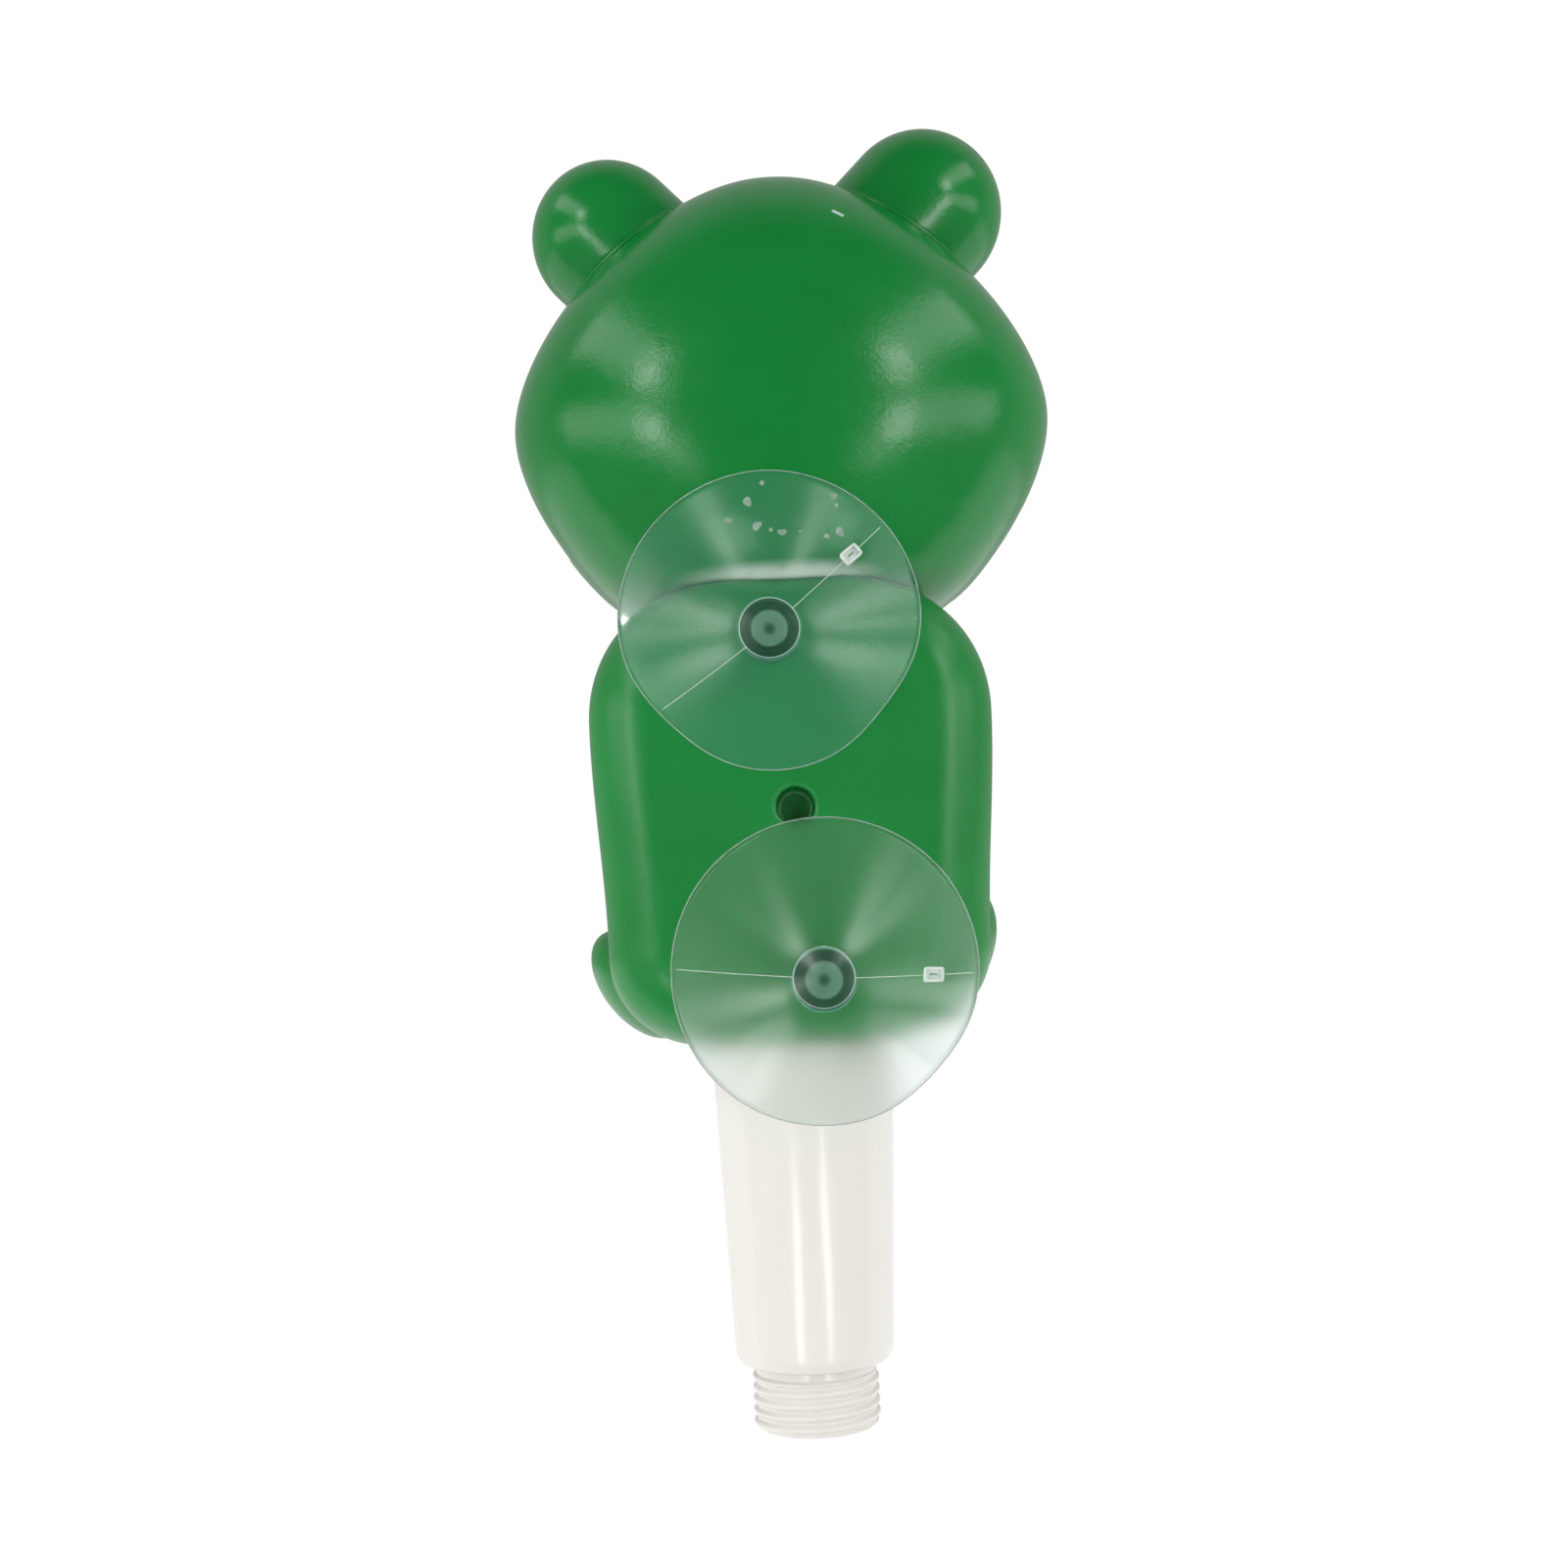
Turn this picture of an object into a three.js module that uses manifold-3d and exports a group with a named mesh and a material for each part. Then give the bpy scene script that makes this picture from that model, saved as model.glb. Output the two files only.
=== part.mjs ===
// Frog-shaped children's shower head, in millimetres.
// The modelling frame has the hose thread's end face at z = 0 and the handle's axis on the z axis.
// The frog looks along -y, and its two suction cups point along +y at the wall.
// The exported group shifts that frame, so that its origin lies on the wall midway between the cups.

import * as THREE from 'three';
import { mergeVertices } from 'three/addons/utils/BufferGeometryUtils.js';
import Module from 'manifold-3d';

const wasm = await Module();
wasm.setup();

// Fits and walls
const clearance = 0.3;
const vinylWall = 2.6;
const overrun = 1; // how far a cutting body runs past the face that it opens

// Handle and its hose thread
const threadRadius = 9.9; // half inch pipe thread, at its pitch diameter
const threadLength = 10.2;
const gripLength = 51.8; // from the thread to the body
const gripLowRadius = 13;
const gripTopRadius = 15.3;
const gripEdge = 2.5;
const gripWall = 2.2;
const gripInsert = 10; // handle that is inside the body
const inletRadius = 6.8;
const inletDepth = 7;
const inletShoulder = 1.6;

// Inlet pieces
const filterThickness = 0.8;
const filterHole = 1.4;
const restrictorThickness = 4;
const restrictorOrifice = 1.6;

// Water pipe inside the handle
const pipeRadius = 7.2;
const pipeBore = 4.5;
const pipeReach = 11; // pipe inside each of its two sockets
const socketWall = 1.9;
const ringSection = 0.65; // radius of the rubber rings' section
const ringSqueezeGap = 0.2; // between a rubber ring and its groove or bore

// Handle screws
const screwShank = 1.2;
const screwHead = 2.4;
const screwHeadHeight = 1.4;
const screwLength = 5;
const screwBelowTop = 4;

// Body
const torsoHeight = 76.2;
const torsoBack = 26;
const torsoFront = 26;
const torsoCorner = 10;
const hipHalf = 30.6;
const shoulderHalf = 32.6;
const bottomRound = { height: 16, side: 15, back: 11, front: 11 };
const shoulderRound = { height: 22.6, side: 20.5, back: 9, front: 10 };
const shoulderDrop = 22.4; // from the neck down to where the shoulder starts to round
const bellySquareness = 2.8;
const knee = { out: 26.5, up: 12.1, forward: 11, long: 11.5, short: 8, deep: 13, lean: 25 };
const foot = { out: 18, up: 5.2, forward: 29, halfWidth: 9, halfLength: 11, halfHeight: 4.8 };

// Neck joint
const neckHalfWidth = 13.5;
const neckHalfDepth = 11;
const neckTube = 6.5;
const neckHook = 1.6;

// Head
const headHalfWidth = 46.4;
const headMiddle = 30.3; // widest level above the neck
const crownRise = 43.8;
const chinDrop = 45.5; // full lower half, of which the neck cuts off the end
const chinRound = 9; // rounding under the front of the chin
const headRoll = { foot: 3.2, height: 6.5, side: 2.2, back: 3.6 }; // edge rolled in, from below the neck
const headBack = 32;
const headFront = 42;
const headForward = 3; // head's middle ahead of the handle's axis
const crownPower = 1.6;
const chinPower = 1.6;
const depthPower = 2.1;
const headSquareness = 2.15;
const jawProud = 1.1; // step of the lower jaw out of the head
const jawForward = 12; // from the head's middle to the jaw's hind edge
const mouth = { halfWidth: 36, up: 6.5, cornerLift: 5 }; // line over the jaw, above the neck
const nostril = { out: 6.5, up: 35, radius: 1.5 };

// Eyes
const eyeRadius = 14.1;
const eyeOut = 28;
const eyeUp = 68.5; // above the neck
const eyeForward = 6;
const eyeLean = 44;
const eyeBarrel = 17; // straight part below the ball, before the head trims it
const eyePlugRadius = 5;
const eyePlugBore = 2.6;
const eyePlugReach = 7;

// Suction cups and their sockets in the back
const cupPitch = 54;
const lowerCupUp = 11.4; // above the body's bottom
const cupRowLean = 6.4; // degrees that the row of sockets leans from upright
const cupNeck = 2.75;
const cupNeckPlay = 0.3;
const cupKnobRadius = 3.9;
const cupKnobHeight = 2.6;
const cupHubRadius = 4.65;
const cupHubHeight = 4.1;
const cupRadius = 22.75;
const cupReach = 14; // from the back to the rim
const cupRimWidth = 1.1;
const cupRimEdge = 0.7;
const cupWeb = 1.5;
const cupFlare = 1.5; // power of the bowl's outer curve
const cupHollow = 1.7; // power of its inner curve

// Spray head in the belly, stacked along the spray axis
const sprayUp = 37; // above the body's bottom
const collarRadius = 28.5;
const collarFront = 29;
const collarEdge = 1.6;
const chamberBore = 18.6;
const chamberWall = 1.9;
const chamberBack = 10;
const chamberFlange = 2.2;
const flangeReach = 4.9;
const inletTubeRadius = 10.4;
const portRadius = 3.8;
const postRadius = 3.9;
const bezelWall = 1.4;
const bezelReach = 26;
const bezelThickness = 2.2;
const bezelEdge = 0.9;
const faceThickness = 2.2;
const faceRecess = 0.5;
const skirtLength = 8.5;
const skirtThickness = 3.2;
const bossRadius = 5.6;
const bossLength = 5;
const matThickness = 1.4;
const nozzleRoot = 1.5;
const nozzleTip = 1.1;
const nozzleBore = 0.5;
const nozzleProud = 1.2;
const nozzleRings = [{ radius: 8.2, count: 6 }, { radius: 12.4, count: 12 }];
const faceScrew = { shank: 1.4, head: 2.9, headHeight: 1.8, length: 14, seal: 1 };
const capThickness = 1.1;
const capRadius = 4;

// Facets round each kind of piece
const fineFacets = 28;
const mediumFacets = 16;
const smallFacets = 12;
const cupFacets = 24;
const holeFacets = 6;

// Levels that follow from the sizes above
const bodyBottom = threadLength + gripLength;
const gripTop = bodyBottom + gripInsert;
const neckLevel = bodyBottom + torsoHeight;
const headLevel = neckLevel + headMiddle;
const sprayLevel = bodyBottom + sprayUp;
const middleLevel = bodyBottom + lowerCupUp + cupPitch / 2;
const cupShift = (cupPitch / 2) * Math.tan(THREE.MathUtils.degToRad(cupRowLean));
const upperCup = { across: cupShift, level: middleLevel + cupPitch / 2 };
const lowerCup = { across: -cupShift, level: middleLevel - cupPitch / 2 };
const spareSocket = { across: 0, level: middleLevel };
const socketDepth = vinylWall + 2 * clearance + cupKnobHeight;
const wallPlane = torsoBack + cupReach;
const pipeStart = inletDepth + inletShoulder + clearance;
const pipeSocket = pipeRadius + clearance;
const collarInside = collarRadius - vinylWall;
const chamberOutside = chamberBore + chamberWall;
const bezelInside = chamberOutside + clearance;
const bezelOutside = bezelInside + bezelWall;
const lipBack = collarFront - vinylWall;
const flangeFront = lipBack - clearance;
const bezelFront = collarFront + clearance + bezelThickness;
const faceFront = bezelFront - faceRecess;
const faceBack = faceFront - faceThickness;
const chamberRim = faceBack - clearance;
const bossBack = faceBack - bossLength;
const counterbore = capRadius + clearance;

const finishes = {
  vinyl: { color: 0x15803a, roughness: 0.38, metalness: 0 },
  whitePlastic: { color: 0xece8e0, roughness: 0.3, metalness: 0 },
  greyPlastic: { color: 0xb9bec2, roughness: 0.5, metalness: 0 },
  clearCup: { color: 0xcfdcd5, roughness: 0.12, metalness: 0 },
  rubber: { color: 0x222426, roughness: 0.8, metalness: 0 },
  nozzleRubber: { color: 0x6f7a80, roughness: 0.7, metalness: 0 },
  steel: { color: 0xb8babd, roughness: 0.3, metalness: 1 },
};

const part = new THREE.Group();

// Adds one piece to the part from a closed geometry.
function addPiece(name, geometry, finish) {
  const mesh = new THREE.Mesh(geometry, new THREE.MeshStandardMaterial(finishes[finish]));
  mesh.name = name;
  part.add(mesh);
}

// Welds a closed geometry, turns its faces outwards and makes a body that can be cut and joined.
function toSolid(geometry) {
  geometry.deleteAttribute('normal');
  geometry.deleteAttribute('uv');
  const welded = mergeVertices(geometry);
  const points = welded.attributes.position;
  const corner = [new THREE.Vector3(), new THREE.Vector3(), new THREE.Vector3()];
  const triangles = [];
  let volume = 0;
  for (let i = 0; i < welded.index.count; i += 3) {
    const face = [0, 1, 2].map((k) => welded.index.getX(i + k));
    if (new Set(face).size < 3) continue;
    face.forEach((id, k) => corner[k].fromBufferAttribute(points, id));
    volume += corner[0].dot(corner[1].cross(corner[2]));
    triangles.push(face);
  }
  const facingOut = volume > 0 ? triangles : triangles.map(([a, b, c]) => [a, c, b]);
  const mesh = new wasm.Mesh({
    numProp: 3,
    vertProperties: new Float32Array(points.array),
    triVerts: new Uint32Array(facingOut.flat()),
  });
  return new wasm.Manifold(mesh);
}

function toGeometry(solid) {
  const mesh = solid.getMesh();
  const geometry = new THREE.BufferGeometry();
  geometry.setAttribute('position', new THREE.BufferAttribute(mesh.vertProperties, 3));
  geometry.setIndex(new THREE.BufferAttribute(mesh.triVerts, 1));
  geometry.computeVertexNormals();
  return geometry;
}

function joinAll(solids) {
  return solids.reduce((whole, solid) => whole.add(solid));
}

function cutAll(solid, cutters) {
  return cutters.reduce((rest, cutter) => rest.subtract(cutter), solid);
}

// Revolves a closed outline of [radius, height] corners about the y axis.
function revolve(outline, facets) {
  const points = outline.map(([radius, height]) => new THREE.Vector2(radius, height));
  const onAxis = outline[0][0] === 0 && outline[outline.length - 1][0] === 0;
  if (!onAxis) points.push(points[0].clone());
  return new THREE.LatheGeometry(points, facets);
}

// The same outline, standing on the handle's axis.
function revolveUpright(outline, facets) {
  return revolve(outline, facets).rotateX(Math.PI / 2);
}

// The same outline on the spray axis, with heights counted forwards from the handle's axis.
function revolveSpray(outline, facets) {
  return revolve(outline, facets).rotateX(Math.PI).translate(0, 0, sprayLevel);
}

// Corners of a quarter round from one edge to the next, for an outline.
function quarterRound(centreRadius, centreHeight, radius, startAngle, turn) {
  const steps = 3;
  return Array.from({ length: steps + 1 }, (_, i) => {
    const angle = startAngle + (turn * i) / steps;
    return [centreRadius + radius * Math.cos(angle), centreHeight + radius * Math.sin(angle)];
  });
}

function rod(radius, low, high, facets) {
  return revolve([[0, low], [radius, low], [radius, high], [0, high]], facets);
}

function sprayRod(radius, back, front, facets) {
  return toSolid(rod(radius, back, front, facets).rotateX(Math.PI).translate(0, 0, sprayLevel));
}

function uprightRod(radius, low, high, facets) {
  return toSolid(rod(radius, low, high, facets).rotateX(Math.PI / 2));
}

function ellipsoid(halfX, halfY, halfZ) {
  return new THREE.SphereGeometry(1, smallFacets, smallFacets / 2).scale(halfX, halfY, halfZ);
}

// Skin over a stack of rings with equally many points, closed by a fan to a point at each end.
function loft(rings, lowEnd, highEnd) {
  const count = rings[0].length;
  const points = [...rings.flat(), lowEnd, highEnd];
  const lowId = points.length - 2;
  const highId = points.length - 1;
  const topStart = (rings.length - 1) * count;
  const faces = [];
  for (let i = 0; i < count; i++) {
    const next = (i + 1) % count;
    for (let level = 0; level < rings.length - 1; level++) {
      const low = level * count;
      const high = low + count;
      faces.push(low + i, low + next, high + next, low + i, high + next, high + i);
    }
    faces.push(lowId, next, i, highId, topStart + i, topStart + next);
  }
  const geometry = new THREE.BufferGeometry().setFromPoints(points);
  geometry.setIndex(faces);
  return geometry;
}

function superellipse(share, power) {
  return Math.pow(Math.max(0, 1 - Math.pow(Math.abs(share), power)), 1 / power);
}

function signedPower(value, power) {
  return Math.sign(value) * Math.pow(Math.abs(value), power);
}

// How far a rounded end has drawn in, as a share of its full inset.
function roundedInset(share) {
  const clamped = THREE.MathUtils.clamp(share, 0, 1);
  return 1 - Math.sqrt(1 - clamped * clamped);
}

// One level of the torso: flat back with rounded corners, straight flanks and a full belly.
function torsoRing(level, halfWidth, back, front, corner) {
  const at = (x, y) => new THREE.Vector3(x, y, level);
  const cornerAt = (side, startAngle) => {
    return quarterRound(side * (halfWidth - corner), back - corner, corner, startAngle, Math.PI / 2);
  };
  const ring = [[halfWidth, 0], ...cornerAt(1, 0), ...cornerAt(-1, Math.PI / 2), [-halfWidth, 0]];
  const bellySteps = 14;
  for (let i = 1; i < bellySteps; i++) {
    const angle = Math.PI + (Math.PI * i) / bellySteps;
    const across = signedPower(Math.cos(angle), 2 / bellySquareness);
    const along = signedPower(Math.sin(angle), 2 / bellySquareness);
    ring.push([halfWidth * across, front * along]);
  }
  return ring.map(([x, y]) => at(x, y));
}

// The torso's whole form, drawn in by an inset for its hollow or let out for its clearance.
function torsoForm(inset) {
  const hipLevel = bodyBottom + bottomRound.height;
  const shoulderLevel = neckLevel - shoulderDrop;
  const low = bodyBottom + inset;
  const high = neckLevel - inset;
  const bottomSteps = 5;
  const flankSteps = 3;
  const shoulderSteps = 5;
  const levels = [];
  for (let i = 0; i < bottomSteps; i++) {
    const angle = (Math.PI / 2) * (i / bottomSteps);
    levels.push(hipLevel - (hipLevel - low) * Math.cos(angle));
  }
  for (let i = 0; i < flankSteps; i++) {
    levels.push(THREE.MathUtils.lerp(hipLevel, shoulderLevel, i / flankSteps));
  }
  for (let i = 0; i <= shoulderSteps; i++) {
    const share = Math.sin((Math.PI / 2) * (i / shoulderSteps));
    levels.push(THREE.MathUtils.lerp(shoulderLevel, high, share));
  }
  const rings = levels.map((level) => {
    const bottomIn = roundedInset((hipLevel - level) / (hipLevel - low));
    const topIn = roundedInset((level - shoulderLevel) / (shoulderRound.height - inset));
    const drawnIn = (side) => {
      return inset + bottomIn * (bottomRound[side] - inset) + topIn * (shoulderRound[side] - inset);
    };
    const swell = THREE.MathUtils.smoothstep(level, hipLevel, shoulderLevel);
    const flank = THREE.MathUtils.lerp(hipHalf, shoulderHalf, swell);
    const corner = torsoCorner - inset;
    return torsoRing(level, flank - drawnIn('side'), torsoBack - drawnIn('back'),
      torsoFront - drawnIn('front'), corner);
  });
  const lowEnd = new THREE.Vector3(0, 0, low);
  const highEnd = new THREE.Vector3(0, 0, high);
  return toSolid(loft(rings, lowEnd, highEnd));
}

// Knee that leans out beside the hip, and the foot in front of it, on one side.
function legForms(side) {
  const kneeForm = ellipsoid(knee.short, knee.deep, knee.long);
  kneeForm.rotateY(side * THREE.MathUtils.degToRad(knee.lean));
  kneeForm.translate(side * knee.out, -knee.forward, bodyBottom + knee.up);
  const footForm = ellipsoid(foot.halfWidth, foot.halfLength, foot.halfHeight);
  footForm.translate(side * foot.out, -foot.forward, bodyBottom + foot.up);
  return [toSolid(kneeForm), toSolid(footForm)];
}

// Blind socket in the back: a boss inside the skin, a throat and a wider pocket for the cup's knob.
function cupSocket({ across, level }) {
  const pocketRadius = cupKnobRadius + clearance;
  const boss = rod(pocketRadius + vinylWall, torsoBack - socketDepth - vinylWall,
    torsoBack - vinylWall / 2, smallFacets);
  const hollow = revolve([
    [0, torsoBack - socketDepth],
    [pocketRadius, torsoBack - socketDepth],
    [pocketRadius, torsoBack - vinylWall],
    [cupNeck + cupNeckPlay, torsoBack - vinylWall],
    [cupNeck + cupNeckPlay, torsoBack + overrun],
    [0, torsoBack + overrun],
  ], smallFacets);
  return {
    boss: toSolid(boss.translate(across, 0, level)),
    hollow: toSolid(hollow.translate(across, 0, level)),
  };
}

// Neck plug of the head: an oval tube that passes the torso's top and hooks under it.
function neckOval(inset, low, high) {
  const oval = rod(1, low, high, mediumFacets).rotateX(Math.PI / 2);
  return toSolid(oval.scale(neckHalfWidth - inset, neckHalfDepth - inset, 1));
}

function torsoSkin() {
  const collar = revolveSpray([
    [0, 0],
    [collarRadius, 0],
    ...quarterRound(collarRadius - collarEdge, collarFront - collarEdge, collarEdge, 0, Math.PI / 2),
    [0, collarFront],
  ], fineFacets);
  const sockets = [lowerCup, spareSocket, upperCup].map(cupSocket);
  const outside = joinAll([torsoForm(0), ...legForms(-1), ...legForms(1), toSolid(collar)]);
  const hollow = joinAll([torsoForm(vinylWall), sprayRod(collarInside, 0, lipBack, fineFacets)]);
  const shell = outside.subtract(hollow);
  const ribbed = joinAll([shell, ...sockets.map((socket) => socket.boss)]);
  return cutAll(ribbed, [
    ...sockets.map((socket) => socket.hollow),
    sprayRod(bezelOutside + clearance, 0, collarFront + overrun, fineFacets),
    uprightRod(gripTopRadius + clearance, bodyBottom - foot.halfHeight, bodyBottom + vinylWall + overrun,
      fineFacets),
    neckOval(-clearance, neckLevel - vinylWall - overrun, neckLevel + overrun),
  ]);
}

const headUnderside = neckLevel - 2 * vinylWall; // a level inside the shoulders, from where the head is cut

// Half-width, back and front of the head at one level, drawn in by an inset.
function headSection(level, inset) {
  const rise = level - headLevel;
  const upper = rise > 0;
  const share = rise / ((upper ? crownRise : chinDrop) - inset);
  const side = (headHalfWidth - inset) * superellipse(share, upper ? crownPower : chinPower);
  const depth = superellipse(share, depthPower);
  const chin = chinRound * roundedInset((neckLevel + chinRound - level) / chinRound);
  const rollTop = neckLevel - headRoll.foot + headRoll.height;
  const roll = roundedInset((rollTop - level) / headRoll.height);
  return {
    side: side - headRoll.side * roll,
    back: (headBack - inset) * depth - headRoll.back * roll,
    front: (headFront - inset) * depth - chin,
  };
}

// The head's whole form without its jaw, from below the neck to the crown.
function headForm(inset, low) {
  const lowerSteps = 8;
  const upperSteps = 8;
  const ringSteps = 28;
  const crowding = 1.4; // draws the levels together near the neck
  const levels = [];
  for (let i = 0; i < lowerSteps; i++) {
    levels.push(THREE.MathUtils.lerp(low, headLevel, Math.pow(i / lowerSteps, crowding)));
  }
  for (let i = 0; i < upperSteps; i++) {
    const share = Math.pow(Math.sin((Math.PI / 2) * (i / upperSteps)), 2 / crownPower);
    levels.push(headLevel + (crownRise - inset) * share);
  }
  const rings = levels.map((level) => {
    const { side, back, front } = headSection(level, inset);
    return Array.from({ length: ringSteps }, (_, i) => {
      const angle = (2 * Math.PI * i) / ringSteps;
      const across = signedPower(Math.cos(angle), 2 / headSquareness);
      const along = signedPower(Math.sin(angle), 2 / headSquareness);
      return new THREE.Vector3(side * across, (along > 0 ? back : front) * along - headForward, level);
    });
  });
  const lowEnd = new THREE.Vector3(0, -headForward, low);
  const highEnd = new THREE.Vector3(0, -headForward, headLevel + crownRise - inset);
  return toSolid(loft(rings, lowEnd, highEnd));
}

// Front surface of the head at a place across it and a level.
function headFrontAt(across, level) {
  const { side, front } = headSection(level, 0);
  return -headForward - front * superellipse(across / side, headSquareness);
}

// Lower jaw: the head's own form let out a little, kept below the smile and ahead of the cheeks.
function jawForm() {
  const outline = new THREE.Shape();
  const steps = 12;
  const reach = headHalfWidth + jawProud;
  outline.moveTo(reach, bodyBottom);
  outline.lineTo(-reach, bodyBottom);
  for (let i = 0; i <= steps; i++) {
    const across = THREE.MathUtils.lerp(-reach, reach, i / steps);
    outline.lineTo(across, neckLevel + mouth.up + mouth.cornerLift * (across / mouth.halfWidth) ** 2);
  }
  const region = new THREE.ExtrudeGeometry(outline, { depth: 2 * headFront, bevelEnabled: false });
  const below = toSolid(region.rotateX(Math.PI / 2).translate(0, -headForward - jawForward, 0));
  return headForm(-jawProud, headUnderside).intersect(below);
}

function nostrilDimple(side) {
  const level = neckLevel + nostril.up;
  const across = side * nostril.out;
  const dimple = new THREE.SphereGeometry(nostril.radius, holeFacets, holeFacets);
  return toSolid(dimple.translate(across, headFrontAt(across, level), level));
}

// Places a form made about the y axis on an eye's own axis, leaning out of the head.
function onEyeAxis(form, side) {
  form.rotateX(Math.PI / 2);
  form.rotateY(side * THREE.MathUtils.degToRad(eyeLean));
  return toSolid(form.translate(side * eyeOut, -eyeForward, neckLevel + eyeUp));
}

function headSkin(torsoSpace) {
  const outside = headForm(0, headUnderside).add(jawForm()).subtract(torsoSpace);
  const hollow = headForm(vinylWall, neckLevel + clearance + vinylWall);
  const tubeEnd = neckLevel - neckTube;
  const hookTop = neckLevel - vinylWall - clearance;
  const neck = neckOval(0, tubeEnd, neckLevel + vinylWall);
  const hook = neckOval(-neckHook, tubeEnd, hookTop);
  const throat = neckOval(vinylWall, tubeEnd - overrun, neckLevel + vinylWall + overrun);
  const eyeHoles = [-1, 1].map((side) => {
    return onEyeAxis(rod(eyePlugRadius + clearance, -2 * eyeRadius, 0, smallFacets), side);
  });
  const shell = joinAll([outside.subtract(hollow), neck, hook]);
  return cutAll(shell, [throat, ...eyeHoles, nostrilDimple(-1), nostrilDimple(1)]);
}

// Eye: a hollow ball that runs on as a short barrel down to the head, with a plug through the skin.
function eye(side, headSpace, headBacking) {
  const ballSteps = 6;
  const cap = (radius) => Array.from({ length: ballSteps + 1 }, (_, i) => {
    const angle = (Math.PI / 2) * (i / ballSteps);
    return i === ballSteps ? [0, radius] : [radius * Math.cos(angle), radius * Math.sin(angle)];
  });
  const ball = (radius, facets) => {
    return onEyeAxis(revolve([[0, -eyeBarrel], [radius, -eyeBarrel], ...cap(radius)], facets), side);
  };
  const outer = ball(eyeRadius, fineFacets);
  const inner = ball(eyeRadius - vinylWall, smallFacets);
  const plug = onEyeAxis(rod(eyePlugRadius, -eyeRadius - eyePlugReach, 0, smallFacets), side);
  const bore = onEyeAxis(rod(eyePlugBore, -eyeRadius - eyePlugReach - overrun, 0, holeFacets), side);
  const shell = outer.subtract(headSpace).subtract(inner.subtract(headBacking));
  const plugEnd = plug.subtract(inner.subtract(headBacking));
  return shell.add(plugEnd).subtract(bore);
}

// Corners of an outline that step into a ring's groove and out again, going up.
function ringGroove(surface, middle) {
  const floor = grooveFloor(surface);
  const half = ringSection + ringSqueezeGap;
  return [[surface, middle - half], [floor, middle - half], [floor, middle + half], [surface, middle + half]];
}

function grooveFloor(surface) {
  return surface + clearance - 2 * ringSection - 2 * ringSqueezeGap;
}

function rubberRing(surface, facets) {
  const tubeFacets = 6;
  const middle = grooveFloor(surface) + ringSqueezeGap + ringSection;
  return new THREE.TorusGeometry(middle, ringSection, tubeFacets, facets);
}

const pipeEnd = gripTop + clearance + pipeReach;
const lowerRingLevel = pipeStart + pipeReach / 2;
const upperRingLevel = pipeEnd - pipeReach / 2;

function handle() {
  const floorTop = threadLength + gripWall;
  const socketTop = pipeStart + pipeReach;
  const socketOutside = pipeSocket + socketWall;
  const edgeRadius = gripLowRadius - gripEdge;
  const edgeLevel = threadLength + gripEdge;
  const tube = toSolid(revolveUpright([
    [threadRadius, 0],
    [threadRadius, threadLength],
    ...quarterRound(edgeRadius, edgeLevel, gripEdge, -Math.PI / 2, Math.PI / 2),
    [gripTopRadius, bodyBottom],
    [gripTopRadius, gripTop],
    [gripTopRadius - gripWall, gripTop],
    [gripTopRadius - gripWall, bodyBottom],
    [gripLowRadius - gripWall, floorTop],
    [socketOutside, floorTop],
    [socketOutside, socketTop],
    [pipeSocket, socketTop],
    [pipeSocket, inletDepth + inletShoulder],
    [pipeBore, inletDepth + inletShoulder],
    [pipeBore, inletDepth],
    [inletRadius, inletDepth],
    [inletRadius, 0],
  ], fineFacets));
  return tube.subtract(handleScrewHole());
}

const handleScrewLevel = gripTop - screwBelowTop;

// Crosswise hole for both handle screws.
function handleScrewHole() {
  const reach = gripTopRadius + overrun;
  const hole = rod(screwShank + clearance, -reach, reach, holeFacets);
  return toSolid(hole.rotateZ(Math.PI / 2).translate(0, 0, handleScrewLevel));
}

function handleScrew(side) {
  const seat = gripTopRadius + clearance;
  const screw = revolve([
    [0, seat - screwLength],
    [screwShank, seat - screwLength],
    [screwShank, seat],
    [screwHead, seat],
    [screwHead, seat + screwHeadHeight / 2],
    [screwHead / 2, seat + screwHeadHeight],
    [0, seat + screwHeadHeight],
  ], smallFacets);
  return screw.rotateZ((-side * Math.PI) / 2).translate(0, 0, handleScrewLevel);
}

function waterPipe() {
  return revolveUpright([
    [pipeBore, pipeStart],
    [pipeRadius, pipeStart],
    ...ringGroove(pipeRadius, lowerRingLevel),
    ...ringGroove(pipeRadius, upperRingLevel),
    [pipeRadius, pipeEnd],
    [pipeBore, pipeEnd],
  ], mediumFacets);
}

function pipeRing(level) {
  return rubberRing(pipeRadius, mediumFacets).translate(0, 0, level);
}

// Strainer disc with one hole in the middle and a ring of holes round it.
function inletFilter() {
  const rim = inletRadius - clearance;
  const disc = new THREE.Shape().absarc(0, 0, rim, 0, 2 * Math.PI, false);
  const around = 6;
  const spread = rim - 2 * filterHole;
  const centres = [new THREE.Vector2(0, 0)];
  for (let i = 0; i < around; i++) {
    const angle = (2 * Math.PI * i) / around;
    centres.push(new THREE.Vector2(spread * Math.cos(angle), spread * Math.sin(angle)));
  }
  disc.holes = centres.map((c) => new THREE.Path().absarc(c.x, c.y, filterHole, 0, 2 * Math.PI, true));
  const plate = new THREE.ExtrudeGeometry(disc, {
    depth: filterThickness,
    bevelEnabled: false,
    curveSegments: holeFacets,
  });
  return plate.translate(0, 0, restrictorLow - clearance - filterThickness);
}

const restrictorHigh = inletDepth - clearance;
const restrictorLow = restrictorHigh - restrictorThickness;
const restrictorMiddle = (restrictorLow + restrictorHigh) / 2;
const restrictorRadius = inletRadius - clearance;

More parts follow.
